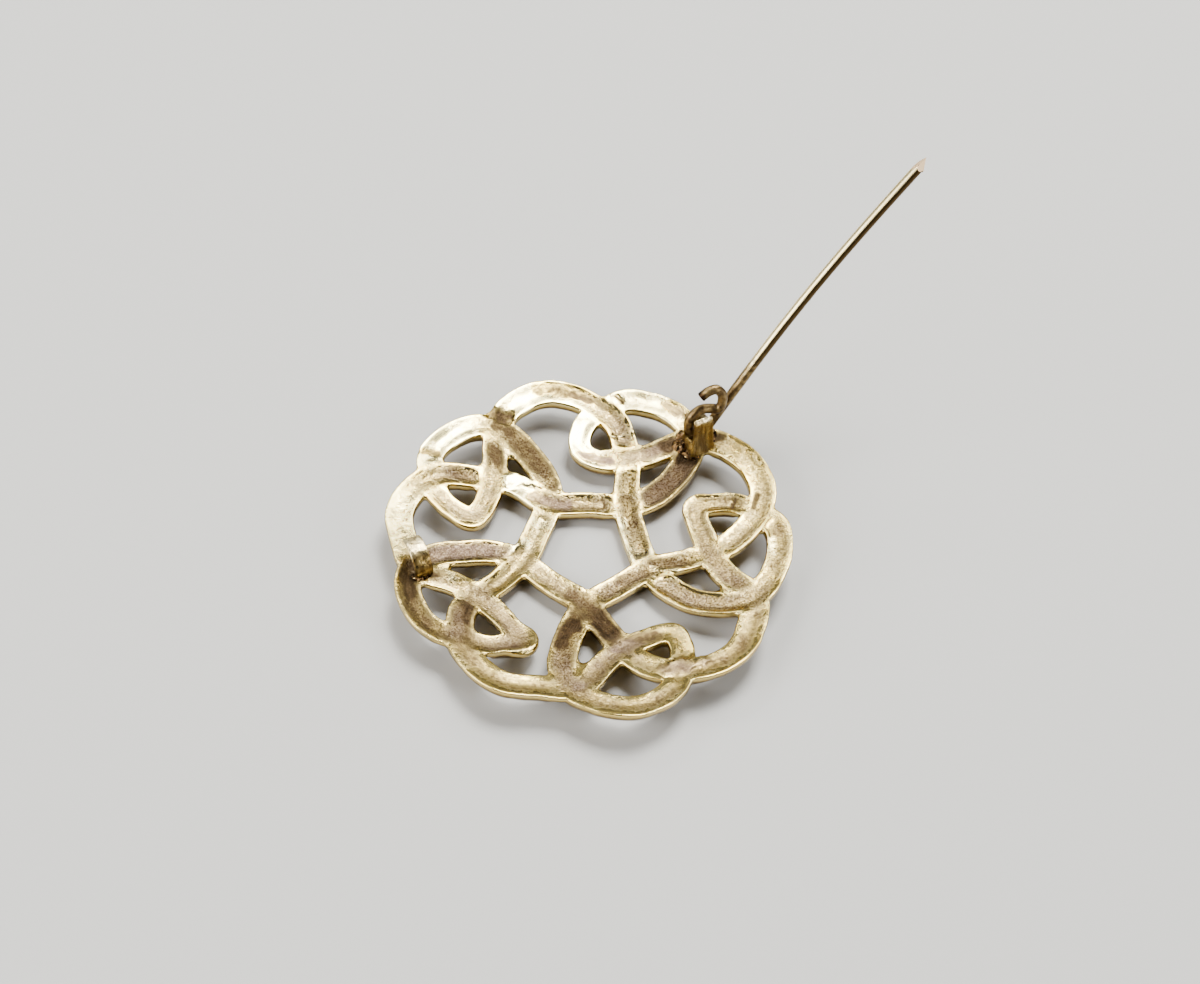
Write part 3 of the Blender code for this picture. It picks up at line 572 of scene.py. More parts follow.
class Sheets:
    """Grids of points with their finish and texture place, welded to one mesh at the end."""

    def __init__(self):
        self.points = []
        self.finish = []
        self.place = []
        self.faces = []
        self.count = 0

    def add(self, points, finish, place, upward=None):
        """A grid; `upward` True or False turns its faces up or down, None keeps the grid's own order."""
        rows, lanes = points.shape[:2]
        index = np.arange(rows*lanes).reshape(rows, lanes) + self.count
        quads = np.stack([index[:-1, :-1], index[1:, :-1], index[1:, 1:], index[:-1, 1:]], axis=-1)
        if upward is not None:
            a, b, d = points[:-1, :-1, :2], points[1:, :-1, :2], points[:-1, 1:, :2]
            area = ((b - a)[..., 0]*(d - a)[..., 1] - (b - a)[..., 1]*(d - a)[..., 0]).sum()
            if (area > 0.0) != upward:
                quads = quads[..., ::-1]
        self.faces.append(quads.reshape(-1, 4))
        self.points.append(points.reshape(-1, 3))
        columns = finish.shape[-1]
        self.finish.append(np.broadcast_to(finish, (*points.shape[:2], columns)).reshape(-1, columns))
        self.place.append(place.reshape(-1, 2))
        self.count += rows*lanes

    def mesh(self, name):
        """The mesh and its finish; points that are the same to a hundredth of a micrometre are made one."""
        points = np.concatenate(self.points)
        faces = np.concatenate(self.faces)
        place = np.concatenate(self.place)
        finish = np.concatenate(self.finish)
        _, first, index = np.unique(np.round(points, 8), axis=0, return_index=True, return_inverse=True)
        index = index.reshape(-1)
        mesh = bpy.data.meshes.new(name)
        mesh.from_pydata(points[first].tolist(), [], index[faces].tolist())
        mesh.update()
        put_place(mesh, place[faces.reshape(-1)])
        return mesh, finish[first]


def put_place(mesh, place):
    """Texture place of every face corner, in metres along and across."""
    layer = mesh.uv_layers.new(name="along_across")
    layer.data.foreach_set("uv", place.astype(np.float32).reshape(-1))


def put_marks(mesh, name, values):
    """Four values for each vertex, kept as a colour attribute."""
    four = np.zeros((len(mesh.vertices), 4), dtype=np.float32)
    four[:, :values.shape[1]] = values
    layer = mesh.attributes.new(name=name, type="FLOAT_COLOR", domain="POINT")
    layer.data.foreach_set("color", four.reshape(-1))


def put_object(name, mesh, shown, body, crease=None):
    """Smooth-shaded object at the origin that rides on a body; `crease` is the angle of edges kept sharp."""
    item = bpy.data.objects.new(name, mesh)
    bpy.context.collection.objects.link(item)
    mesh.polygons.foreach_set("use_smooth", np.ones(len(mesh.polygons), dtype=bool))
    if crease is not None:
        mesh.set_sharp_from_angle(angle=np.radians(crease))
    mesh.materials.append(shown)
    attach(item, body)
    return item


def weld(mesh):
    """Joins points that fell on each other and drops the faces that shrank to nothing."""
    shape = bmesh.new()
    shape.from_mesh(mesh)
    bmesh.ops.remove_doubles(shape, verts=shape.verts, dist=0.000002)
    shape.to_mesh(mesh)
    shape.free()


def finish_function(curve, passes):
    """Function of the place along the strand that gives its finish, eased from one strip to the next."""
    knots = []
    values = []
    for here, there in zip(passes, passes[1:] + passes[:1]):
        name, step = STRIP_AFTER[here[1]]
        row = FINISH[(name, UNIT_NAMES[(here[2] + step) % UNITS])]
        run = (there[0] - here[0]) % curve.length
        for share in STRIP_OWN:
            knots.append((here[0] + share*run) % curve.length)
            values.append(row)
    order = np.argsort(knots)
    knots = np.array(knots)[order]
    values = np.array(values)[order]
    knots = np.concatenate([knots - curve.length, knots, knots + curve.length])
    values = np.concatenate([values, values, values])

    def finish_at(place):
        place = np.asarray(place) % curve.length
        return np.stack([np.interp(place, knots, values[:, k]) for k in range(values.shape[1])], axis=-1)
    return finish_at


def crossing_grids(curve, finish_at, over_at, under_at, lanes):
    """Where two passes share metal: the plan, and for each pass its places, across values and finish."""
    across_over, across_under = np.meshgrid(lanes, lanes, indexing="ij")
    place_over, place_under = meeting_places(curve, np.full(across_over.shape, over_at),
                                             np.full(across_over.shape, under_at), across_over, across_under)
    plan = wander(lane_point(curve, place_over, across_over))
    return (plan, (place_over, across_over, finish_at(place_over)),
            (place_under, across_under, finish_at(place_under)))


def pass_ends(places, points):
    """Entry and exit of a pass whose lanes are rows: the places and the points in that column."""
    first, last = (0, -1) if places[:, -1].mean() > places[:, 0].mean() else (-1, 0)
    return [(places[:, k], points[:, k]) for k in (first, last)]


def both_ends(over, under, points):
    """Entry and exit of the pass over and of the pass under at a crossing."""
    return pass_ends(over[0], points), pass_ends(under[0].T, points.transpose(1, 0, 2))


def strip_rows(curve, leave, arrive, lanes, share):
    """Places, across values and plan of a strip's rows, at their shares of the way between two crossings."""
    place0 = leave[0]
    place1 = place0 + (arrive[0] - place0) % curve.length
    place = place0 + share[:, None]*(place1 - place0)
    across = np.broadcast_to(lanes, place.shape)
    return place, across, wander(lane_point(curve, place, across))


def add_crossing(sheets, curve, finish_at, name, unit, pair):
    """One crossing's back and front; returns the ends of its two passes on the back, then on the front.

    On the back the upper channel runs through, and the lower one cuts its ridges by the share in RUNS_ON.
    """
    plan, over, under = crossing_grids(curve, finish_at, *pair, lane_shares(LANES_BACK))
    place, across, finish = over
    channel, depth = channel_of(across, finish)
    low_channel, low_depth = channel_of(*under[1:])
    through = RUNS_ON[name][unit]*(1.0 - channel)
    edge = edge_drop(across)*edge_drop(under[1])
    # the upper strip's finish on its channel's floor, half of each strip's on the ridges
    share = (0.5*channel*ramp(1.0 - np.abs(across), 0.0, 0.3))[..., None]
    finish = finish*(0.5 + share) + under[2]*(0.5 - share)
    height, marks = back_height(plan, finish, channel + through*low_channel, depth + through*low_depth, edge)
    back = np.dstack([plan, height])
    sheets.add(back, marks, strand_place(place, across), True)
    back_ends = both_ends(over, under, back)
    plan, over, under = crossing_grids(curve, finish_at, *pair, lane_shares(LANES_FRONT))
    place, across, finish = over
    front = np.dstack([plan, front_height(plan, across, 1.0 + CROSSING_SWELL)])
    sheets.add(front, under_marks(finish, 1.0), strand_place(place, across), False)
    return back_ends, both_ends(over, under, front)


def make_casting(shown):
    """The plate's fine mesh: for each crossing a grid of both passes' lanes, for each strip a grid of rows.

    The back's height is the bowl less the channel; the front's is the rounded band; a wall joins their edges.
    """
    rows, keys = strand_rows()
    curve = ClosedCurve(rows)
    at = {key: curve.knot[i] for i, key in enumerate(keys)}
    passes = [(at[(name, unit)], name, unit) for pair in CROSSINGS for name in pair for unit in range(UNITS)]
    passes.sort()
    finish_at = finish_function(curve, passes)
    sheets = Sheets()
    ends = {}
    for over, under in CROSSINGS:
        for unit in range(UNITS):
            pair = at[(over, unit)], at[(under, unit)]
            back_ends, front_ends = add_crossing(sheets, curve, finish_at, over, unit, pair)
            for name, back, front in zip((over, under), back_ends, front_ends):
                ends[(name, unit)] = back, front
    for here, there in zip(passes, passes[1:] + passes[:1]):
        add_strip(sheets, curve, finish_at, ends, here, there)
    make_webs(sheets, curve, finish_at, at)
    mesh, finish = sheets.mesh("knot_casting")
    put_marks(mesh, "finish", finish[:, :4])
    put_marks(mesh, "marks", finish[:, 4:])
    return put_object("knot_casting", mesh, shown, "plate")


def strip_ends(here, there, distance):
    """How far the channel's floor is open and how full the front is along a strip, from its two ends.

    The channel closes, and the front thins to nothing, where the strip dives under a crossing; the front
    grows fuller where it passes over one. `distance` is in strand widths from either end.
    """
    wall = np.ones(distance.shape[1])
    swell = np.ones(distance.shape[1])
    for away, (_, name, unit) in zip(distance, (here, there)):
        near = 1.0 - eased(ramp(away, 0.0, 0.45))
        if name in OVER_OF:
            on = RUNS_ON[OVER_OF[name]][unit]
            wall = np.minimum(wall, on + (1.0 - on)*eased(ramp(away, 0.02, 0.34)))
            swell = swell*(1.0 - near)
        else:
            swell = swell + CROSSING_SWELL*near
    return wall[:, None], swell[:, None]


def add_strip(sheets, curve, finish_at, ends, here, there):
    """One strip between two crossings: back, front and both walls."""
    leave, arrive = ends[here[1:]], ends[there[1:]]
    run = (there[0] - here[0]) % curve.length
    trace = curve.at(here[0] + np.linspace(0.0, 1.0, TRACE_POINTS)*run)[:, :2]
    length = np.hypot(*np.diff(trace, axis=0).T).sum() - STRAND_WIDTH
    share = np.linspace(0.0, 1.0, int(np.ceil(length/ROW_SPACING)) + 1)
    wall, swell = strip_ends(here, there, np.stack([share, 1.0 - share])*length/STRAND_WIDTH)
    entry, exit_ = arrive[0][0], leave[0][1]
    place, across, plan = strip_rows(curve, exit_, entry, lane_shares(LANES_BACK), share)
    finish = finish_at(place)
    channel, depth = channel_of(across, finish)
    height, marks = back_height(plan, finish, channel*wall, depth*wall, edge_drop(across))
    back = np.dstack([plan, height])
    back[0], back[-1] = exit_[1], entry[1]
    sheets.add(back, marks, strand_place(place, across), True)
    entry, exit_ = arrive[1][0], leave[1][1]
    place, across, plan = strip_rows(curve, exit_, entry, lane_shares(LANES_FRONT), share)
    front = np.dstack([plan, front_height(plan, across, swell)])
    front[0], front[-1] = exit_[1], entry[1]
    finish = finish_at(place)
    sheets.add(front, under_marks(finish, 1.0), strand_place(place, across), False)
    down = np.linspace(0.0, 1.0, WALL_ROWS + 1)[None, :]
    for column, order in ((-1, 1), (0, -1)):
        top, foot, side = back[::order, column], front[::order, column], across[0, column]
        along = place[::order, column][:, None] + 0.0*down
        beside = side*(1.0 + down*EDGE_THICKNESS/(0.5*STRAND_WIDTH)) + 0.0*along
        # painted shade: each wall takes more of the amber underside shade towards its foot
        sheets.add(top[:, None] + (foot - top)[:, None]*down[..., None],
                   under_marks(finish[::order, column][:, None], down), strand_place(along, beside))


def under_marks(finish, share):
    """Marks of the walls and the front: polished, no channel or spots, and painted with the amber underside
    shade by `share`.
    """
    flat = np.zeros(np.broadcast_shapes(finish.shape[:-1], np.shape(share)))
    return np.stack([UNDER_POLISH + flat, UNDER_GRAIN*finish[..., GRAIN] + flat, flat,
                     UNDER_BROWN*finish[..., BROWN] + flat, flat, share + flat], axis=-1)


def web_reach(name, unit, corner):
    """How far the web in a crossing's corner runs along the strips, in metres."""
    if (name, corner) == ("over_join", 1):
        return JOIN_WEB[unit]
    at = np.array([[0.37*unit + 0.11*corner, 0.23*CROSSING_NAMES.index(name)]])
    return WEB_REACH + WEB_REACH_CHANGE*lattice_noise(at, 0.1, 31)[0]


def web_foot(curve, place, side, reach, middle, corner):
    """Where a web ends on an edge: `reach` metres from the corner, away from the crossing's middle."""
    pace = curve.length*1e-4
    before, after = lane_point(curve, place + np.array([-pace, pace]), np.full(2, side))
    per_metre = 2.0*pace/np.linalg.norm(after - before)
    away = np.sign((corner - middle) @ (after - before))
    return lane_point(curve, np.array([place + away*reach*per_metre]), np.array([0.93*side]))[0]


def web_plan(corner, feet):
    """Plan of a web: a fan from inside the corner to a parabola that meets both edges at the feet.

    The parabola's tangents at its feet meet in the corner.
    """
    beyond = 0.5*(feet[0] + feet[1]) - corner
    inner = corner - 0.30*beyond - 0.00012*unit_vector(beyond)
    fan = np.linspace(0.0, 1.0, WEB_GRID[0])[:, None, None]
    turn = np.linspace(0.0, 1.0, WEB_GRID[1])[None, :, None]
    arc = (1.0 - turn)**2*feet[0] + 2.0*turn*(1.0 - turn)*corner + turn*turn*feet[1]
    return wander(inner + fan*(arc - inner))


def add_web(sheets, plan, finish):
    """One web: its top rises out of the ridges and is rounded off along the arc.

    Walls and a flat underside close it.
    """
    fan = np.linspace(0.0, 1.0, WEB_GRID[0])[:, None]
    top = HEIGHT_OF_BACK + dome(plan) - WEB_SUNK*(1.0 - eased(ramp(fan, 0.0, 0.5)))
    top = top - 0.9*EDGE_ROUND*edge_drop(0.86 + 0.14*fan) + 0.7*casting_waves(plan, 0.3)
    base = HEIGHT_OF_BACK + dome(plan) - EDGE_THICKNESS + WEB_RAISED
    marks = with_spots(plan, finish, 0.0, 0.0)[0]
    polish, bloom = marks[..., 0], marks[..., 2]
    polish[:] = np.maximum(polish, 0.45)
    bloom *= 0.4
    back = np.dstack([plan, top])
    front = np.dstack([plan, base])
    sheets.add(back, marks, 0.5*plan, True)
    sheets.add(front, under_marks(finish, 1.0), 0.5*plan, False)
    down = np.linspace(0.0, 1.0, WALL_ROWS + 1)[None, :]
    for edge, order in ((np.s_[-1, :], 1), (np.s_[:, 0], 1), (np.s_[:, -1], -1)):
        upper, lower = back[edge][::order], front[edge][::order]
        wall = upper[:, None] + (lower - upper)[:, None]*down[..., None]
        outward = np.cross(wall[1, 0] - wall[0, 0], wall[0, 1] - wall[0, 0])
        if outward @ (wall[len(wall)//2, 0] - back[:, 1:-1].mean(axis=(0, 1))) < 0.0:
            wall = wall[::-1]
        sheets.add(wall, under_marks(finish[edge][:, None], down), 0.5*wall[..., :2])


def make_webs(sheets, curve, finish_at, at):
    """Metal left in the four corners of every crossing, between an edge of one pass and one of the other."""
    sides = np.array([[1.0, 1.0], [1.0, -1.0], [-1.0, 1.0], [-1.0, -1.0]])
    for over, under in CROSSINGS:
        for unit in range(UNITS):
            middles = [curve.at(at[(name, unit)])[:2] for name in (over, under)]
            starts = [np.full(4, at[(name, unit)]) for name in (over, under)]
            places = meeting_places(curve, *starts, *sides.T)
            corners = lane_point(curve, places[0], sides[:, 0])
            for k, corner in enumerate(corners):
                reach = web_reach(over, unit, k)
                feet = [web_foot(curve, places[this][k], sides[k, this], reach, middles[1 - this], corner)
                        for this in (0, 1)]
                plan = web_plan(corner, feet)
                add_web(sheets, plan, finish_at(np.full(plan.shape[:2], starts[0][0])))


def hinge_frame():
    """The pin's axis: its centre, the outward direction, the upward direction and the axis itself."""
    plan = np.array(AXIS_AT)*PLATE_RADIUS
    centre = np.array([*plan, HEIGHT_OF_BACK + dome(plan) + AXIS_HEIGHT*EYE_RADIUS])
    outward = np.array([np.cos(PIN_AZIMUTH), np.sin(PIN_AZIMUTH), 0.0])
    level = np.array([np.sin(PIN_AZIMUTH), -np.cos(PIN_AZIMUTH), 0.0])
    axis = np.cos(AXIS_LEAN)*level + np.sin(AXIS_LEAN)*np.array([0.0, 0.0, 1.0])
    upward = np.cross(axis, outward)
    return centre, np.array([outward, upward, axis])


def smooth_through(points, per_step):
    """Catmull-Rom curve through the points."""
    before = np.vstack([2.0*points[0] - points[1], points[:-2]])
    after = np.vstack([points[2:], 2.0*points[-1] - points[-2]])
    t = (np.arange(per_step)/per_step)[None, :, None]
    p0, p1, p2, p3 = before[:, None], points[:-1, None], points[1:, None], after[:, None]
    body = 0.5*(2.0*p1 + (p2 - p0)*t + (2.0*p0 - 5.0*p1 + 4.0*p2 - p3)*t**2
                + (3.0*p1 - p0 - 3.0*p2 + p3)*t**3)
    return np.vstack([body.reshape(-1, points.shape[1]), points[-1:]])


def superellipse(sides, power):
    """The two coordinates of a rounded rectangle's rim: cosine and sine to the power of two over `power`."""
    turn = 2.0*np.pi*(np.arange(sides) + 0.5)/sides
    c, s = np.cos(turn), np.sin(turn)
    return np.sign(c)*np.abs(c)**(2.0/power), np.sign(s)*np.abs(s)**(2.0/power)


def travel(line):
    """Distance along a line of points, from its first point."""
    return np.concatenate([[0.0], np.cumsum(np.linalg.norm(np.diff(line, axis=0), axis=1))])


class Skins:
    """Closed skins made of rings of points, joined to one mesh."""

    def __init__(self):
        self.points = []
        self.faces = []
        self.place = []
        self.count = 0

    def add(self, rings, along):
        """A closed skin: the rings joined in order, each end closed by a fan to its middle point."""
        count, sides = rings.shape[:2]
        ends = np.stack([rings[0].mean(axis=0), rings[-1].mean(axis=0)])
        points = np.vstack([rings.reshape(-1, 3), ends])
        index = np.arange(count*sides).reshape(count, sides)
        ahead = np.roll(index, -1, axis=1)
        quads = np.stack([index[:-1], ahead[:-1], ahead[1:], index[1:]], axis=-1).reshape(-1, 4)
        first = np.stack([np.full(sides, count*sides), ahead[0], index[0]], axis=-1)
        last = np.stack([np.full(sides, count*sides + 1), index[-1], ahead[-1]], axis=-1)
        corners = points[quads]
        middle = points.mean(axis=0)
        volume = np.einsum("ij,ij->", corners[:, 0] - middle,
                           np.cross(corners[:, 2] - corners[:, 0], corners[:, 3] - corners[:, 1]))
        if volume < 0.0:
            quads, first, last = quads[:, ::-1], first[:, ::-1], last[:, ::-1]
        turn = np.arange(sides)/sides
        place = np.dstack(np.broadcast_arrays(along[:, None], turn[None, :])).reshape(-1, 2)
        place = np.vstack([place, [[along[0], 0.5], [along[-1], 0.5]]])
        for part in (quads, first, last):
            self.faces += (part + self.count).tolist()
        self.points.append(points)
        self.place.append(place)
        self.count += len(points)

    def mesh(self, name):
        """The mesh, with the texture place of each face corner."""
        points = np.concatenate(self.points)
        place = np.concatenate(self.place)
        mesh = bpy.data.meshes.new(name)
        mesh.from_pydata(points.tolist(), [], self.faces)
        mesh.update()
        corners = np.empty(len(mesh.loops), dtype=np.int64)
        mesh.loops.foreach_get("vertex_index", corners)
        put_place(mesh, place[corners])
        return mesh


def carried(line, half_first, half_second, power, sides, reference):
    """Rings of a superellipse with the given half sizes and power carried along a line.

    `reference` is the direction that each ring's first half size keeps to.
    """
    ahead = unit_vector(np.gradient(line, axis=0))
    first = unit_vector(reference - ahead*(ahead @ reference)[:, None])
    second = np.cross(ahead, first)
    x, y = superellipse(sides, power)
    return (line[:, None] + (half_first[:, None]*x)[..., None]*first[:, None]
            + (half_second[:, None]*y)[..., None]*second[:, None])


def pin_line():
    """The wire's middle line from tip to tail in the pin's plane: bowed shaft, the eye's arc and the tail."""
    ahead = np.array([np.cos(PIN_LIFT), np.sin(PIN_LIFT)])
    side = np.array([np.sin(PIN_LIFT), -np.cos(PIN_LIFT)])
    # the shaft as shares of its length from the eye, the tip first
    run = np.concatenate([np.linspace(1.0, POINT_START, POINT_ROWS),
                          np.linspace(POINT_START, 0.0, SHAFT_ROWS + 1)[1:]])
    shaft = (EYE_RADIUS - PIN_BOW*np.sin(np.pi*run))[:, None]*side + (run*PIN_LENGTH)[:, None]*ahead
    shaft = np.column_stack([shaft, np.zeros(len(run))])
    angle = PIN_LIFT - 0.5*np.pi - np.radians(np.linspace(0.0, EYE_TURN, EYE_ROWS + 1))[1:]
    sideways = np.linspace(0.0, EYE_SHIFT, EYE_ROWS + 1)[1:]
    eye = EYE_RADIUS*np.column_stack([np.cos(angle), np.sin(angle), sideways])
    # the tail's curve starts on the eye's last rows, which are left out of it
    tail = smooth_through(np.vstack([eye[[-4, -1]], np.array(TAIL)*EYE_RADIUS]), TAIL_ROWS)[TAIL_ROWS + 1:]
    return np.vstack([shaft, eye, tail])


def ground_point(rings, tip, facing):
    """The rings with the point ground on, the point itself, and how far each of their points moved.

    No part of a ring passes a long slanted plane on the side that `facing` shows, nor three steeper ones
    behind and beside it. All four planes pass through the point.
    """
    ahead = np.array([np.cos(PIN_LIFT), np.sin(PIN_LIFT), 0.0])
    facing = unit_vector(facing - (facing @ ahead)*ahead)
    beside = np.cross(ahead, facing)
    point = tip - WIRE_DIAMETER*(POINT_AT[0]*facing + POINT_AT[1]*ahead)
    along = (rings - point) @ ahead
    moved = np.zeros(along.shape)
    for slope, direction in zip(POINT_SLOPES, (facing, -facing, beside, -beside)):
        kept = np.minimum(along, -slope*((rings - point) @ direction))
        moved = np.maximum(moved, along - kept)
        rings = rings + (kept - along)[..., None]*ahead
        along = kept
    return rings, point, moved


def make_pin(shown):
    """The pin: a round wire carried along the shaft, the eye and the tail, with a ground point.

    Its marks are the share of the way from tip to tail, the side with painted brown shade and the ground
    faces.
    """
    centre, axes = hinge_frame()
    line = pin_line()
    radius = np.full(len(line), 0.5*WIRE_DIAMETER)
    rings = carried(line, radius, radius, ROUND, WIRE_SIDES, np.array([0.0, 0.0, 1.0]))
    rings, point, moved = ground_point(rings, line[0], GROUND_SIDE @ axes.T)
    travelled = travel(line)
    skins = Skins()
    skins.add(rings @ axes + centre, travelled)
    # the middle of the end at the tip, last but one of the skin's points
    skins.points[0][-2] = point @ axes + centre
    mesh = skins.mesh("pin_wire")
    shaded = ((rings - line[:, None]) @ (SHADED_SIDE @ axes.T))/(0.5*WIRE_DIAMETER)
    marks = np.zeros((len(mesh.vertices), 3))
    marks[:-2, 0] = np.repeat(travelled/travelled[-1], WIRE_SIDES)
    # painted shade: how far each point lies on the wire's lower side, which is painted brown
    marks[:-2, 1] = ramp(shaded, -0.12, 0.28).reshape(-1)
    marks[:-2, 2] = ramp(moved, 0.00002, 0.00006).reshape(-1)
    marks[-2:, 0] = (0.0, 1.0)
    marks[-2, 2] = 1.0
    put_marks(mesh, "finish", marks)
    weld(mesh)
    item = put_object("pin_wire", mesh, shown, "pin", 30.0)
    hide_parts("pin")
    return item


def post_rows(levels, inner, outer, per_step):
    """Smooth rows for post_rings from levels of height, width share, thickness share and climb.

    The post stands between inner and outer along the hinge's axis.
    """
    levels = np.array(levels)
    middle = np.full(len(levels), -LUG_INWARD*LUG_WIDTH)
    rows = np.column_stack([levels[:, 0], middle, levels[:, 1]*LUG_WIDTH, middle*0.0 + 0.5*(inner + outer),
                            levels[:, 2]*0.5*(outer - inner), levels[:, 3]])
    return smooth_through(rows, per_step)


def post_rings(rows, centre, axes):
    """Rings of an upright post with a rounded rectangle for its section, a little hammered.

    Each row has the ring's height, its middle and half width outward, its middle and half width along the
    hinge's axis, and how much it climbs towards the far side.
    """
    x, y = superellipse(POST_SIDES, POST_SQUARE)
    height, out, half_out, along, half_along, climb = [rows[:, k, None] for k in range(6)]
    local = np.dstack([out + half_out*x, height + climb*y + 0.0*x, along + half_along*y])
    dents = waves(local, LUG_DENTS)
    local[..., 0] += dents*x
    local[..., 2] += dents*y
    return local @ axes + centre


def make_lug(shown):
    """The hinge lug: a near cheek with a slanted top, a low far cheek, the foot and the core in the eye.

    Each is a rounded rectangle carried upwards; the core is a round bar along the axis.
    """
    centre, axes = hinge_frame()
    wall = 0.5*WIRE_DIAMETER + 1.25*CLEARANCE
    near = wall + LUG_WALL
    far = -near + 0.4*CLEARANCE
    slot = -wall + 0.4*CLEARANCE
    floor = -AXIS_HEIGHT*EYE_RADIUS
    foot_top = -(EYE_RADIUS + 0.5*WIRE_DIAMETER + CLEARANCE)
    low = FAR_CHEEK_TOP*LUG_TOP
    cheek = post_rows([(floor - POST_SUNK, 0.66, 1.20, 0.0),
                       (floor, 0.63, 1.14, 0.0),
                       (0.7*floor, 0.56, 1.04, 0.0),
                       (0.2*floor, 0.505, 1.00, 0.0),
                       (LUG_TOP - 0.00070, 0.485, 0.98, 0.0),
                       (LUG_TOP - 0.00028, 0.475, 0.97, -0.00024)], wall, near, 8)
    # the cheek's top edge, rounded over in three last rows
    edge = np.repeat(cheek[-1:], 3, axis=0)
    edge[:, 0] += (0.00004, 0.00006, 0.00007)
    edge[:, 2] *= (0.985, 0.95, 0.90)
    edge[:, 4] *= (0.95, 0.84, 0.70)
    far_cheek = post_rows([(floor - POST_SUNK, 0.60, 1.10, 0.0),
                           (0.6*floor, 0.50, 1.00, 0.0),
                           (low - 0.0001, 0.49, 0.96, 0.0),
                           (low, 0.44, 0.60, 0.0)], far, slot, 6)
    foot = post_rows([(floor - POST_SUNK, 0.62, 1.08, 0.0),
                      (floor + 0.0002, 0.57, 1.00, 0.0),
                      (foot_top - 0.0001, 0.50, 0.94, 0.0),
                      (foot_top, 0.44, 0.84, 0.0)], far, near, 6)
    skins = Skins()
    for rows in (np.vstack([cheek, edge]), far_cheek, foot):
        skins.add(post_rings(rows, centre, axes), rows[:, 0])
    radius = np.full(CORE_ROWS, EYE_RADIUS - 0.5*WIRE_DIAMETER - CLEARANCE)
    line = np.column_stack([np.zeros((CORE_ROWS, 2)),
                            np.linspace(slot - CORE_SUNK, wall + CORE_SUNK, CORE_ROWS)])
    rings = carried(line, radius, radius, ROUND, CORE_SIDES, np.array([1.0, 0.0, 0.0]))
    skins.add(rings @ axes + centre, line[:, 2])
    mesh = skins.mesh("hinge_lug")
    height = ((np.concatenate(skins.points) - centre) @ axes.T)[:, 1]
    # painted shade: the whole lug is painted dark olive except its top, which is left lit
    shade = 0.85*(1.0 - ramp(height, LUG_TOP - 0.00034, LUG_TOP - 0.00022))
    put_marks(mesh, "finish", shade[:, None])
    return put_object("hinge_lug", mesh, shown, "plate")


def make_catch(shown):
    """The catch: a flat strip with rounded edges carried along its hooked line."""
    along = np.array([np.cos(PIN_AZIMUTH), np.sin(PIN_AZIMUTH), 0.0])
    reach = np.array([-np.sin(PIN_AZIMUTH), np.cos(PIN_AZIMUTH), 0.0])
    plan = np.array(CATCH_AT)*PLATE_RADIUS
    foot = np.array([*plan, HEIGHT_OF_BACK + dome(plan)])
    path = smooth_through(np.array(CATCH_PATH)*(CATCH_REACH, CATCH_HEIGHT), 9)
    line = foot + path[:, :1]*reach + path[:, 1:]*np.array([0.0, 0.0, 1.0])
    share = np.linspace(0.0, 1.0, len(line))
    wide = 0.5*CATCH_WIDTH*(1.03 - 0.05*share)
    thick = np.full(len(line), 0.5*CATCH_THICKNESS)
    # the free end's edge is rounded over in the last two rings
    wide[-2:] *= (0.99, 0.95)
    thick[-2:] *= (0.97, 0.86)
    rings = carried(line, wide, thick, CATCH_SQUARE, CATCH_SIDES, along)
    middle = rings.mean(axis=1, keepdims=True)
    rings = rings + unit_vector(rings - middle)*waves(rings, CATCH_DENTS)[..., None]
    skins = Skins()
    skins.add(rings, travel(line))
    mesh = skins.mesh("catch_hook")
    # painted shade: dark from the foot to the bend, lit over it, and a little darker at the free end
    shade = 1.0 - ramp(share, 0.44, 0.60) + 0.35*ramp(share, 0.80, 0.94)
    shade = np.append(np.repeat(shade, CATCH_SIDES), (shade[0], shade[-1]))
    put_marks(mesh, "finish", shade[:, None])
    return put_object("catch_hook", mesh, shown, "plate")


# the solder's mounds: at the lug or the catch, its middle east and north of there, its two half widths,
# how it is turned (radians), its height and its seed
MOUNDS = [
    ("lug", -0.00010, -0.00020, 0.00215, 0.00150, 0.5, 0.00040, 41),
    ("lug", -0.00175, -0.00075, 0.00105, 0.00100, 0.3, 0.00062, 45),
    ("lug", -0.00060, -0.00165, 0.00105, 0.00070, 2.9, 0.00034, 49),
    ("lug", -0.00175, 0.00045, 0.00075, 0.00060, 1.2, 0.00034, 65),
    ("lug", 0.00135, 0.00060, 0.00085, 0.00060, 0.9, 0.00024, 53),
    ("catch", 0.00000, -0.00025, 0.00110, 0.00065, PIN_AZIMUTH, 0.00022, 57),
]


def mound_rings(middle, half_widths, turned_by, height, seed):
    """A lump of solder: rings out along its sunk underside and back over its top, which is uneven."""
    below, above = MOUND_ROWS
    reach = np.concatenate([np.linspace(0.0, 1.0, below), np.linspace(1.0, 0.03, above + 1)[1:]])
    on_top = np.repeat([0.0, 1.0], MOUND_ROWS)[:, None]
    turn = 2.0*np.pi*np.arange(MOUND_SIDES)/MOUND_SIDES
    rim = np.stack([np.cos(turn), np.sin(turn)], axis=-1)
    uneven = 1.0 + 0.16*lattice_noise(rim, 0.8, seed) + 0.07*lattice_noise(rim, 0.3, seed + 1)
    flat = rim*uneven[:, None]*half_widths*reach[:, None, None]
    c, s = np.cos(turned_by), np.sin(turned_by)
    plan = np.dstack([c*flat[..., 0] - s*flat[..., 1], s*flat[..., 0] + c*flat[..., 1]]) + middle
    lumps = 1.0 + 0.35*lattice_noise(plan, 0.0006, seed + 2) + 0.20*lattice_noise(plan, 0.00028, seed + 3)
    crown = (1.0 - reach[:, None]**2)**0.7*lumps
    level = HEIGHT_OF_BACK + dome(plan) - MOUND_SUNK + on_top*(MOUND_SUNK + height)*crown
    return np.dstack([plan, level]), reach


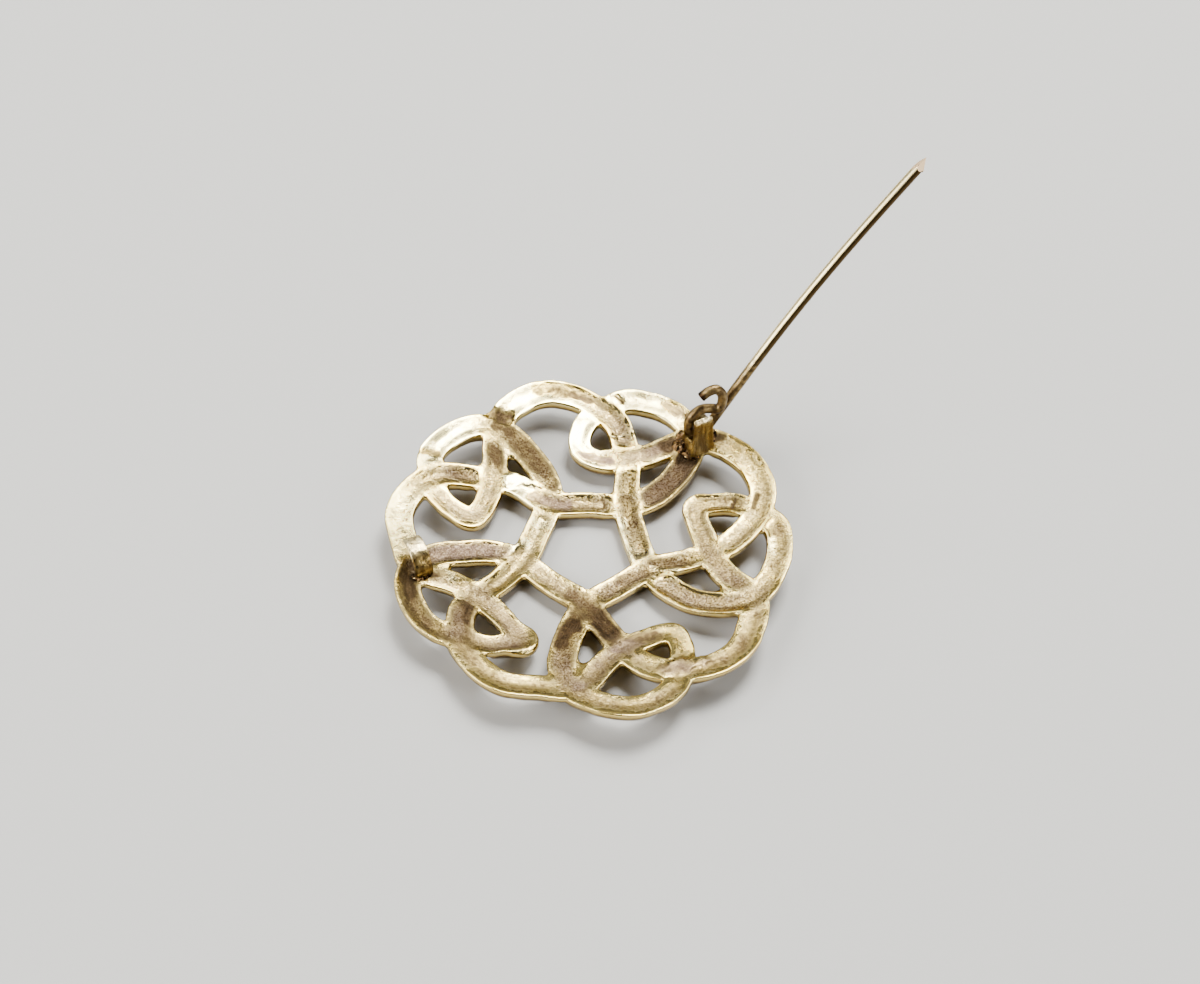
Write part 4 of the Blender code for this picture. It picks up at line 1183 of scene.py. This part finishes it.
def make_solder(shown):
    """The solder at the feet of the lug and the catch: mounds that overlap, with beads beside them."""
    feet = {"lug": np.array(AXIS_AT)*PLATE_RADIUS, "catch": np.array(CATCH_AT)*PLATE_RADIUS}
    skins = Skins()
    for foot, east, north, wide, high, turned_by, height, seed in MOUNDS:
        skins.add(*mound_rings(feet[foot] + (east, north), (wide, high), turned_by, height, seed))
    return put_object("solder", skins.mesh("solder"), shown, "plate")


# colours of the casting, each one colour or the two ends of a mottled one
TAN = (0.130, 0.088, 0.034), (0.29, 0.198, 0.076)
GOLD = (0.90, 0.71, 0.25), (0.80, 0.59, 0.16)
POLISHED_GOLD = (0.98, 0.84, 0.40)
MAUVE_BLOOM = (0.215, 0.147, 0.116)
# grime with painted crease shade, for the dark line beside the ridges
GRIME_AND_CREASE_SHADE = (0.050, 0.032, 0.014)
BROWN_SCALE = (0.022, 0.014, 0.007), (0.070, 0.046, 0.025)
DARK_PITS = (0.045, 0.026, 0.012)
GLINTS = (0.95, 0.82, 0.55)
# painted shade: darker amber on the walls and the front, for the shade under the strands and the dark ground
# they reflect
AMBER_UNDERSIDE_SHADE = (0.42, 0.28, 0.078), (0.24, 0.145, 0.038)
# colours of the solder, and of its gold specks with painted highlights
BURNT_FLUX = (0.034, 0.019, 0.009), (0.13, 0.074, 0.030)
SOLDER_SPECKS_AND_HIGHLIGHTS = (0.80, 0.60, 0.27)
# colours of the lug and the catch: gold where lit, painted dark olive shade, and the pits
LIT_GOLD = (0.90, 0.76, 0.44), (0.74, 0.58, 0.28)
SHADE_OLIVE = (0.17, 0.105, 0.032), (0.36, 0.25, 0.085)
BROWN_PITS = (0.11, 0.06, 0.02)
# colours of the wire: drawn, painted brown shade on its lower side, ground faces, oxide, the oxide's pits and
# the tail's end
DRAWN_BRASS = (0.98, 0.83, 0.46), (0.93, 0.74, 0.36)
BROWN_SIDE_SHADE = (0.080, 0.048, 0.016)
GROUND_BRASS = (0.97, 0.72, 0.44)
OXIDE = (0.085, 0.052, 0.024), (0.30, 0.205, 0.085)
OXIDE_PITS = (0.05, 0.028, 0.014)
CUT_END = (0.030, 0.016, 0.008)


class Metal:
    """A metal material, with short names for the sums on sockets and numbers that make its colours."""

    def __init__(self, name):
        self.material = bpy.data.materials.new(name)
        self.material.use_nodes = True
        self.tree = self.material.node_tree
        self.shader = self.tree.nodes["Principled BSDF"]
        self.shader.inputs["Metallic"].default_value = 1.0
        self.where = self.tree.nodes.new("ShaderNodeTexCoord").outputs["Object"]

    def put(self, socket, value):
        """Links a socket to another, or gives it a number or a colour."""
        if isinstance(value, bpy.types.NodeSocket):
            self.tree.links.new(value, socket)
        elif isinstance(value, tuple):
            socket.default_value = (*value, 1.0)
        else:
            socket.default_value = value

    def mix(self, weight, low, high):
        """Blend of two colours."""
        made = self.tree.nodes.new("ShaderNodeMix")
        made.data_type = "RGBA"
        for k, value in ((0, weight), (6, low), (7, high)):
            self.put(made.inputs[k], value)
        return made.outputs[2]

    def number(self, operation, a, b, clamp):
        """Result of a sum on two numbers, kept from 0 to 1 by `clamp`."""
        made = self.tree.nodes.new("ShaderNodeMath")
        made.operation = operation
        made.use_clamp = clamp
        self.put(made.inputs[0], a)
        self.put(made.inputs[1], b)
        return made.outputs[0]

    def plus(self, a, b, clamp=False):
        """The sum of two numbers."""
        return self.number("ADD", a, b, clamp)

    def minus(self, a, b, clamp=False):
        """The difference of two numbers."""
        return self.number("SUBTRACT", a, b, clamp)

    def times(self, a, b, clamp=False):
        """The product of two numbers."""
        return self.number("MULTIPLY", a, b, clamp)

    def larger(self, a, b):
        """The larger of two numbers."""
        return self.number("MAXIMUM", a, b, False)

    def spread(self, value, low, high, to_low=0.0, to_high=1.0):
        """The value's range low to high spread over to_low to to_high, eased and kept inside it."""
        made = self.tree.nodes.new("ShaderNodeMapRange")
        made.interpolation_type = "SMOOTHSTEP"
        for name, given in (("Value", value), ("From Min", low), ("From Max", high), ("To Min", to_low),
                            ("To Max", to_high)):
            self.put(made.inputs[name], given)
        return made.outputs["Result"]

    def speckle(self, per_metre, detail, roughness, where=None):
        """Noise with the given number of cells in a metre."""
        made = self.tree.nodes.new("ShaderNodeTexNoise")
        for name, given in (("Scale", per_metre), ("Detail", detail), ("Roughness", roughness),
                            ("Vector", where or self.where)):
            self.put(made.inputs[name], given)
        return made.outputs["Fac"]

    def marks(self, name):
        """The four values of an attribute."""
        source = self.tree.nodes.new("ShaderNodeAttribute")
        source.attribute_name = name
        parts = self.tree.nodes.new("ShaderNodeSeparateColor")
        self.put(parts.inputs[0], source.outputs["Color"])
        return [*parts.outputs[:3], source.outputs["Alpha"]]

    def along_across(self):
        """The piece's own texture place, along and across it."""
        source = self.tree.nodes.new("ShaderNodeUVMap")
        source.uv_map = "along_across"
        return source.outputs[0]

    def stretched(self, where, scale):
        """A place scaled by a number for each of its three directions, for streaks."""
        made = self.tree.nodes.new("ShaderNodeMapping")
        made.inputs["Scale"].default_value = scale
        self.put(made.inputs["Vector"], where)
        return made.outputs[0]

    def finished(self, colour, roughness, relief, depth):
        """The material with its colour, roughness and fine relief, whose depth is in metres."""
        bump = self.tree.nodes.new("ShaderNodeBump")
        for socket, value in ((self.shader.inputs["Base Color"], colour),
                              (self.shader.inputs["Roughness"], roughness),
                              (bump.inputs["Strength"], 1.0),
                              (bump.inputs["Distance"], depth),
                              (bump.inputs["Height"], relief),
                              (self.shader.inputs["Normal"], bump.outputs[0])):
            self.put(socket, value)
        return self.material


def cast_brass():
    """Cast brass: gold ridges, matt grainy channels, a mauve bloom, brown scale, grime with painted crease
    shade, and painted amber shade on the walls and the front.
    """
    m = Metal("cast_brass_worn")
    polish, grain, mauve, brown = m.marks("finish")
    channel, under = m.marks("marks")[:2]
    fine = m.speckle(5600.0, 2.0, 0.70)
    coarse = m.speckle(2300.0, 4.0, 0.62)
    broad = m.speckle(620.0, 3.0, 0.55)
    # brightness: the polish, or the ridges where no scale covers them, in patches
    ridge = m.times(m.times(m.minus(1.0, channel), 0.82), m.minus(1.4, brown), True)
    bright = m.larger(polish, ridge)
    bright = m.plus(bright, m.spread(broad, 0.30, 0.70, -0.25, 0.25))
    bright = m.plus(bright, m.spread(coarse, 0.30, 0.70, -0.20, 0.20), True)
    tan = m.mix(m.spread(coarse, 0.35, 0.65), *TAN)
    gold = m.mix(m.spread(broad, 0.35, 0.65), *GOLD)
    gold = m.mix(m.spread(polish, 0.60, 1.0), gold, POLISHED_GOLD)
    colour = m.mix(bright, tan, gold)
    bloom = m.times(mauve, m.spread(coarse, 0.28, 0.58, 0.45, 1.0))
    bloom = m.times(bloom, m.spread(channel, 0.0, 0.6, 0.2, 1.0))
    colour = m.mix(bloom, colour, MAUVE_BLOOM)
    # grime and painted crease shade lie in a thin line beside the ridges, darkening the channel where it
    # meets them
    grime_and_crease_shade = m.times(m.spread(channel, 0.03, 0.18), m.spread(channel, 0.55, 0.22))
    grime_and_crease_shade = m.times(grime_and_crease_shade, m.spread(coarse, 0.42, 0.58, 0.15, 0.75))
    grime_and_crease_shade = m.times(grime_and_crease_shade, m.minus(1.0, m.times(polish, 0.9)))
    colour = m.mix(grime_and_crease_shade, colour, GRIME_AND_CREASE_SHADE)
    scaled = m.times(brown, m.spread(coarse, 0.30, 0.50, 0.55, 1.0))
    scaled = m.times(scaled, m.spread(channel, 0.0, 0.35, 0.40, 1.0))
    streaks = m.speckle(4200.0, 2.0, 0.6, m.stretched(m.along_across(), (0.12, 1.0, 1.0)))
    mottle = m.times(m.plus(fine, streaks), 0.5)
    colour = m.mix(scaled, colour, m.mix(m.spread(mottle, 0.44, 0.57), *BROWN_SCALE))
    pits = m.times(m.plus(m.times(grain, 1.15), 0.06, True), m.spread(fine, 0.47, 0.59))
    pits = m.times(pits, m.spread(channel, 0.0, 0.7, 0.15, 1.0))
    colour = m.mix(pits, colour, DARK_PITS)
    glints = m.times(grain, m.spread(fine, 0.42, 0.34))
    glints = m.times(glints, m.minus(0.6, brown, True))
    colour = m.mix(glints, colour, GLINTS)
    # painted shade: the walls and the front, by their share, take the amber underside shade
    colour = m.mix(under, colour, m.mix(m.spread(coarse, 0.35, 0.65), *AMBER_UNDERSIDE_SHADE))
    rough = m.plus(m.spread(bright, 0.0, 1.0, 0.50, 0.18), m.times(grain, 0.04))
    rough = m.plus(rough, m.times(scaled, 0.08))
    dull = m.spread(bright, 0.2, 1.0, 1.0, 0.12)
    relief = m.times(fine, m.times(m.plus(0.06, grain), dull))
    relief = m.plus(relief, m.times(coarse, m.times(dull, 0.4)))
    return m.finished(colour, rough, relief, 0.00009)


def solder_brown():
    """Solder with burnt flux: dark brown and glossy, with bright gold specks that are partly painted
    highlights.
    """
    m = Metal("burnt_solder")
    coarse = m.speckle(1700.0, 3.0, 0.6)
    fine = m.speckle(5200.0, 2.0, 0.6)
    colour = m.mix(m.spread(coarse, 0.38, 0.62), *BURNT_FLUX)
    # gold specks, partly painted highlights on the lumps
    colour = m.mix(m.spread(fine, 0.63, 0.72), colour, SOLDER_SPECKS_AND_HIGHLIGHTS)
    relief = m.plus(coarse, m.times(fine, 0.4))
    return m.finished(colour, m.spread(coarse, 0.3, 0.7, 0.16, 0.36), relief, 0.00012)


def hammered_brass():
    """The lug and the catch: gold where lit, painted dark olive brown shade where their shade mark is high.
    """
    m = Metal("hammered_brass")
    shade = m.marks("finish")[0]
    facets = m.speckle(1900.0, 2.0, 0.5, m.stretched(m.where, (1.0, 1.0, 0.22)))
    broad = m.speckle(900.0, 2.0, 0.5)
    fine = m.speckle(4200.0, 3.0, 0.6)
    gold = m.mix(m.spread(broad, 0.3, 0.7), *LIT_GOLD)
    shade_olive = m.mix(m.spread(facets, 0.40, 0.60), *SHADE_OLIVE)
    colour = m.mix(m.spread(shade, 0.0, 0.9), gold, shade_olive)
    colour = m.mix(m.spread(fine, 0.60, 0.74, 0.0, 0.6), colour, BROWN_PITS)
    relief = m.plus(facets, m.times(fine, 0.25))
    return m.finished(colour, m.spread(fine, 0.3, 0.7, 0.24, 0.42), relief, 0.00010)


def pin_brass():
    """The wire: pale drawn brass that turns to brown oxide on the eye, the tail and the shaft's foot, with
    painted brown shade along its lower side.
    """
    m = Metal("drawn_wire")
    way, painted_shade_side, ground = m.marks("finish")[:3]
    coarse = m.speckle(1500.0, 3.0, 0.6)
    fine = m.speckle(6000.0, 3.0, 0.6)
    ragged = m.minus(coarse, 0.5)
    oxide = m.spread(m.plus(way, m.times(ragged, 0.10)), 0.53, 0.61)
    bright = m.mix(m.spread(coarse, 0.35, 0.65), *DRAWN_BRASS)
    # painted shade: the wire's lower side is painted brown
    side = m.spread(m.plus(painted_shade_side, m.times(ragged, 0.4)), 0.35, 0.75)
    bright = m.mix(m.times(side, m.minus(1.0, ground)), bright, BROWN_SIDE_SHADE)
    bright = m.mix(ground, bright, GROUND_BRASS)
    dark = m.mix(m.spread(coarse, 0.35, 0.65), *OXIDE)
    dark = m.mix(m.spread(fine, 0.55, 0.7, 0.0, 0.7), dark, OXIDE_PITS)
    dark = m.mix(m.spread(way, 0.985, 0.996), dark, CUT_END)
    rough = m.spread(m.plus(coarse, ground), 0.3, 1.4, 0.36, 0.52)
    relief = m.times(fine, m.spread(oxide, 0.0, 1.0, 0.02, 1.0))
    return m.finished(m.mix(oxide, bright, dark), rough, relief, 0.00004)


FLOOR_REACH = 1.5
FLOOR_GREY = (0.47, 0.467, 0.460, 1.0)
FLOOR_ROUGHNESS = 0.75


def make_floor():
    """A plain pale floor."""
    corners = [(x*FLOOR_REACH, y*FLOOR_REACH, 0) for x, y in ((-1, -1), (1, -1), (1, 1), (-1, 1))]
    mesh = bpy.data.meshes.new("floor")
    mesh.from_pydata(corners, [], [(0, 1, 2, 3)])
    item = bpy.data.objects.new("floor", mesh)
    bpy.context.collection.objects.link(item)
    made = bpy.data.materials.new("pale_floor")
    made.use_nodes = True
    shader = made.node_tree.nodes["Principled BSDF"]
    shader.inputs["Base Color"].default_value = FLOOR_GREY
    shader.inputs["Roughness"].default_value = FLOOR_ROUGHNESS
    mesh.materials.append(made)
    return item


# lamps: name, azimuth and height angle of where it stands (degrees), distance, width, height, watts, colour
LAMPS = [
    ("key", 70.0, 68.0, 0.55, 0.20, 0.18, 5.6, (1.00, 0.995, 0.94)),
    ("back", 125.0, 48.0, 0.60, 0.22, 0.14, 1.2, (1.00, 0.995, 0.95)),
    ("right", 58.0, 46.0, 0.60, 0.20, 0.18, 1.5, (1.00, 0.995, 0.94)),
    ("fill", 95.0, 24.0, 0.60, 0.80, 0.26, 0.24, (1.00, 0.99, 0.95)),
    ("side", 208.0, 29.0, 0.60, 0.44, 0.46, 7.0, (1.00, 0.99, 0.95)),
    ("front", -24.0, 28.0, 0.70, 0.24, 0.20, 2.0, (1.00, 0.99, 0.97)),
]
SURROUND = (0.90, 0.92, 0.95, 1.0)
SURROUND_STRENGTH = 0.050


def place_lamps():
    """Soft rectangular lamps that face the brooch, and an even grey surround."""
    for name, azimuth, lift, distance, wide, high, watts, colour in LAMPS:
        data = bpy.data.lights.new(name, "AREA")
        data.shape = "RECTANGLE"
        data.size = wide
        data.size_y = high
        data.energy = watts
        data.color = colour
        lamp = bpy.data.objects.new(name, data)
        bpy.context.collection.objects.link(lamp)
        a, e = np.radians(azimuth), np.radians(lift)
        where = Vector((np.cos(a)*np.cos(e), np.sin(a)*np.cos(e), np.sin(e)))
        turn = where.to_track_quat("Z", "Y").to_matrix().to_4x4()
        lamp.matrix_world = Matrix.Translation(where*distance) @ turn
    world = bpy.data.worlds.new("surround")
    world.use_nodes = True
    world.node_tree.nodes["Background"].inputs[0].default_value = SURROUND
    world.node_tree.nodes["Background"].inputs[1].default_value = SURROUND_STRENGTH
    bpy.context.scene.world = world


# the camera: height angle and roll in radians, its distance, in pixels the 1200 by 984 frame's width, the
# focal length, the frame's middle and where the disc's middle appears, and the sensor's width in millimetres
VIEW_LIFT = 0.886477
VIEW_ROLL = 0.0972845
VIEW_DISTANCE = 0.1756098
FRAME_WIDTH = 1200.0
FOCAL_LENGTH = 1800.0
FRAME_MIDDLE = (600.0, 492.0)
DISC_MIDDLE = (586.689, 547.951)
SENSOR_WIDTH = 36.0


def place_camera():
    """The photograph's viewpoint: 50.8 degrees above the floor, rolled 5.6 degrees, 176 mm away."""
    forward = np.array([0.0, np.cos(VIEW_LIFT), -np.sin(VIEW_LIFT)])
    right = np.array([1.0, 0.0, 0.0])
    up = np.cross(right, forward)
    c, s = np.cos(VIEW_ROLL), np.sin(VIEW_ROLL)
    right, up = c*right + s*up, c*up - s*right
    across, down = [(at - middle)/FOCAL_LENGTH for at, middle in zip(DISC_MIDDLE, FRAME_MIDDLE)]
    aim = VIEW_DISTANCE*(across*right - down*up + forward)
    where = np.array([0.0, 0.0, HEIGHT_OF_BACK]) - aim
    data = bpy.data.cameras.new("view")
    data.sensor_fit = "HORIZONTAL"
    data.sensor_width = SENSOR_WIDTH
    data.lens = SENSOR_WIDTH*FOCAL_LENGTH/FRAME_WIDTH
    data.clip_start = 0.005
    camera = bpy.data.objects.new("view", data)
    bpy.context.collection.objects.link(camera)
    turn = Matrix(np.column_stack([right, up, -forward]).tolist())
    camera.matrix_world = Matrix.Translation(Vector(where.tolist())) @ turn.to_4x4()
    bpy.context.scene.camera = camera


cast = cast_brass()
hammered = hammered_brass()
casting = make_casting(cast)
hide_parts("knotwork_plate")
make_lug(hammered)
make_catch(hammered)
make_solder(solder_brown())
make_pin(pin_brass())
make_floor()
place_lamps()
place_camera()
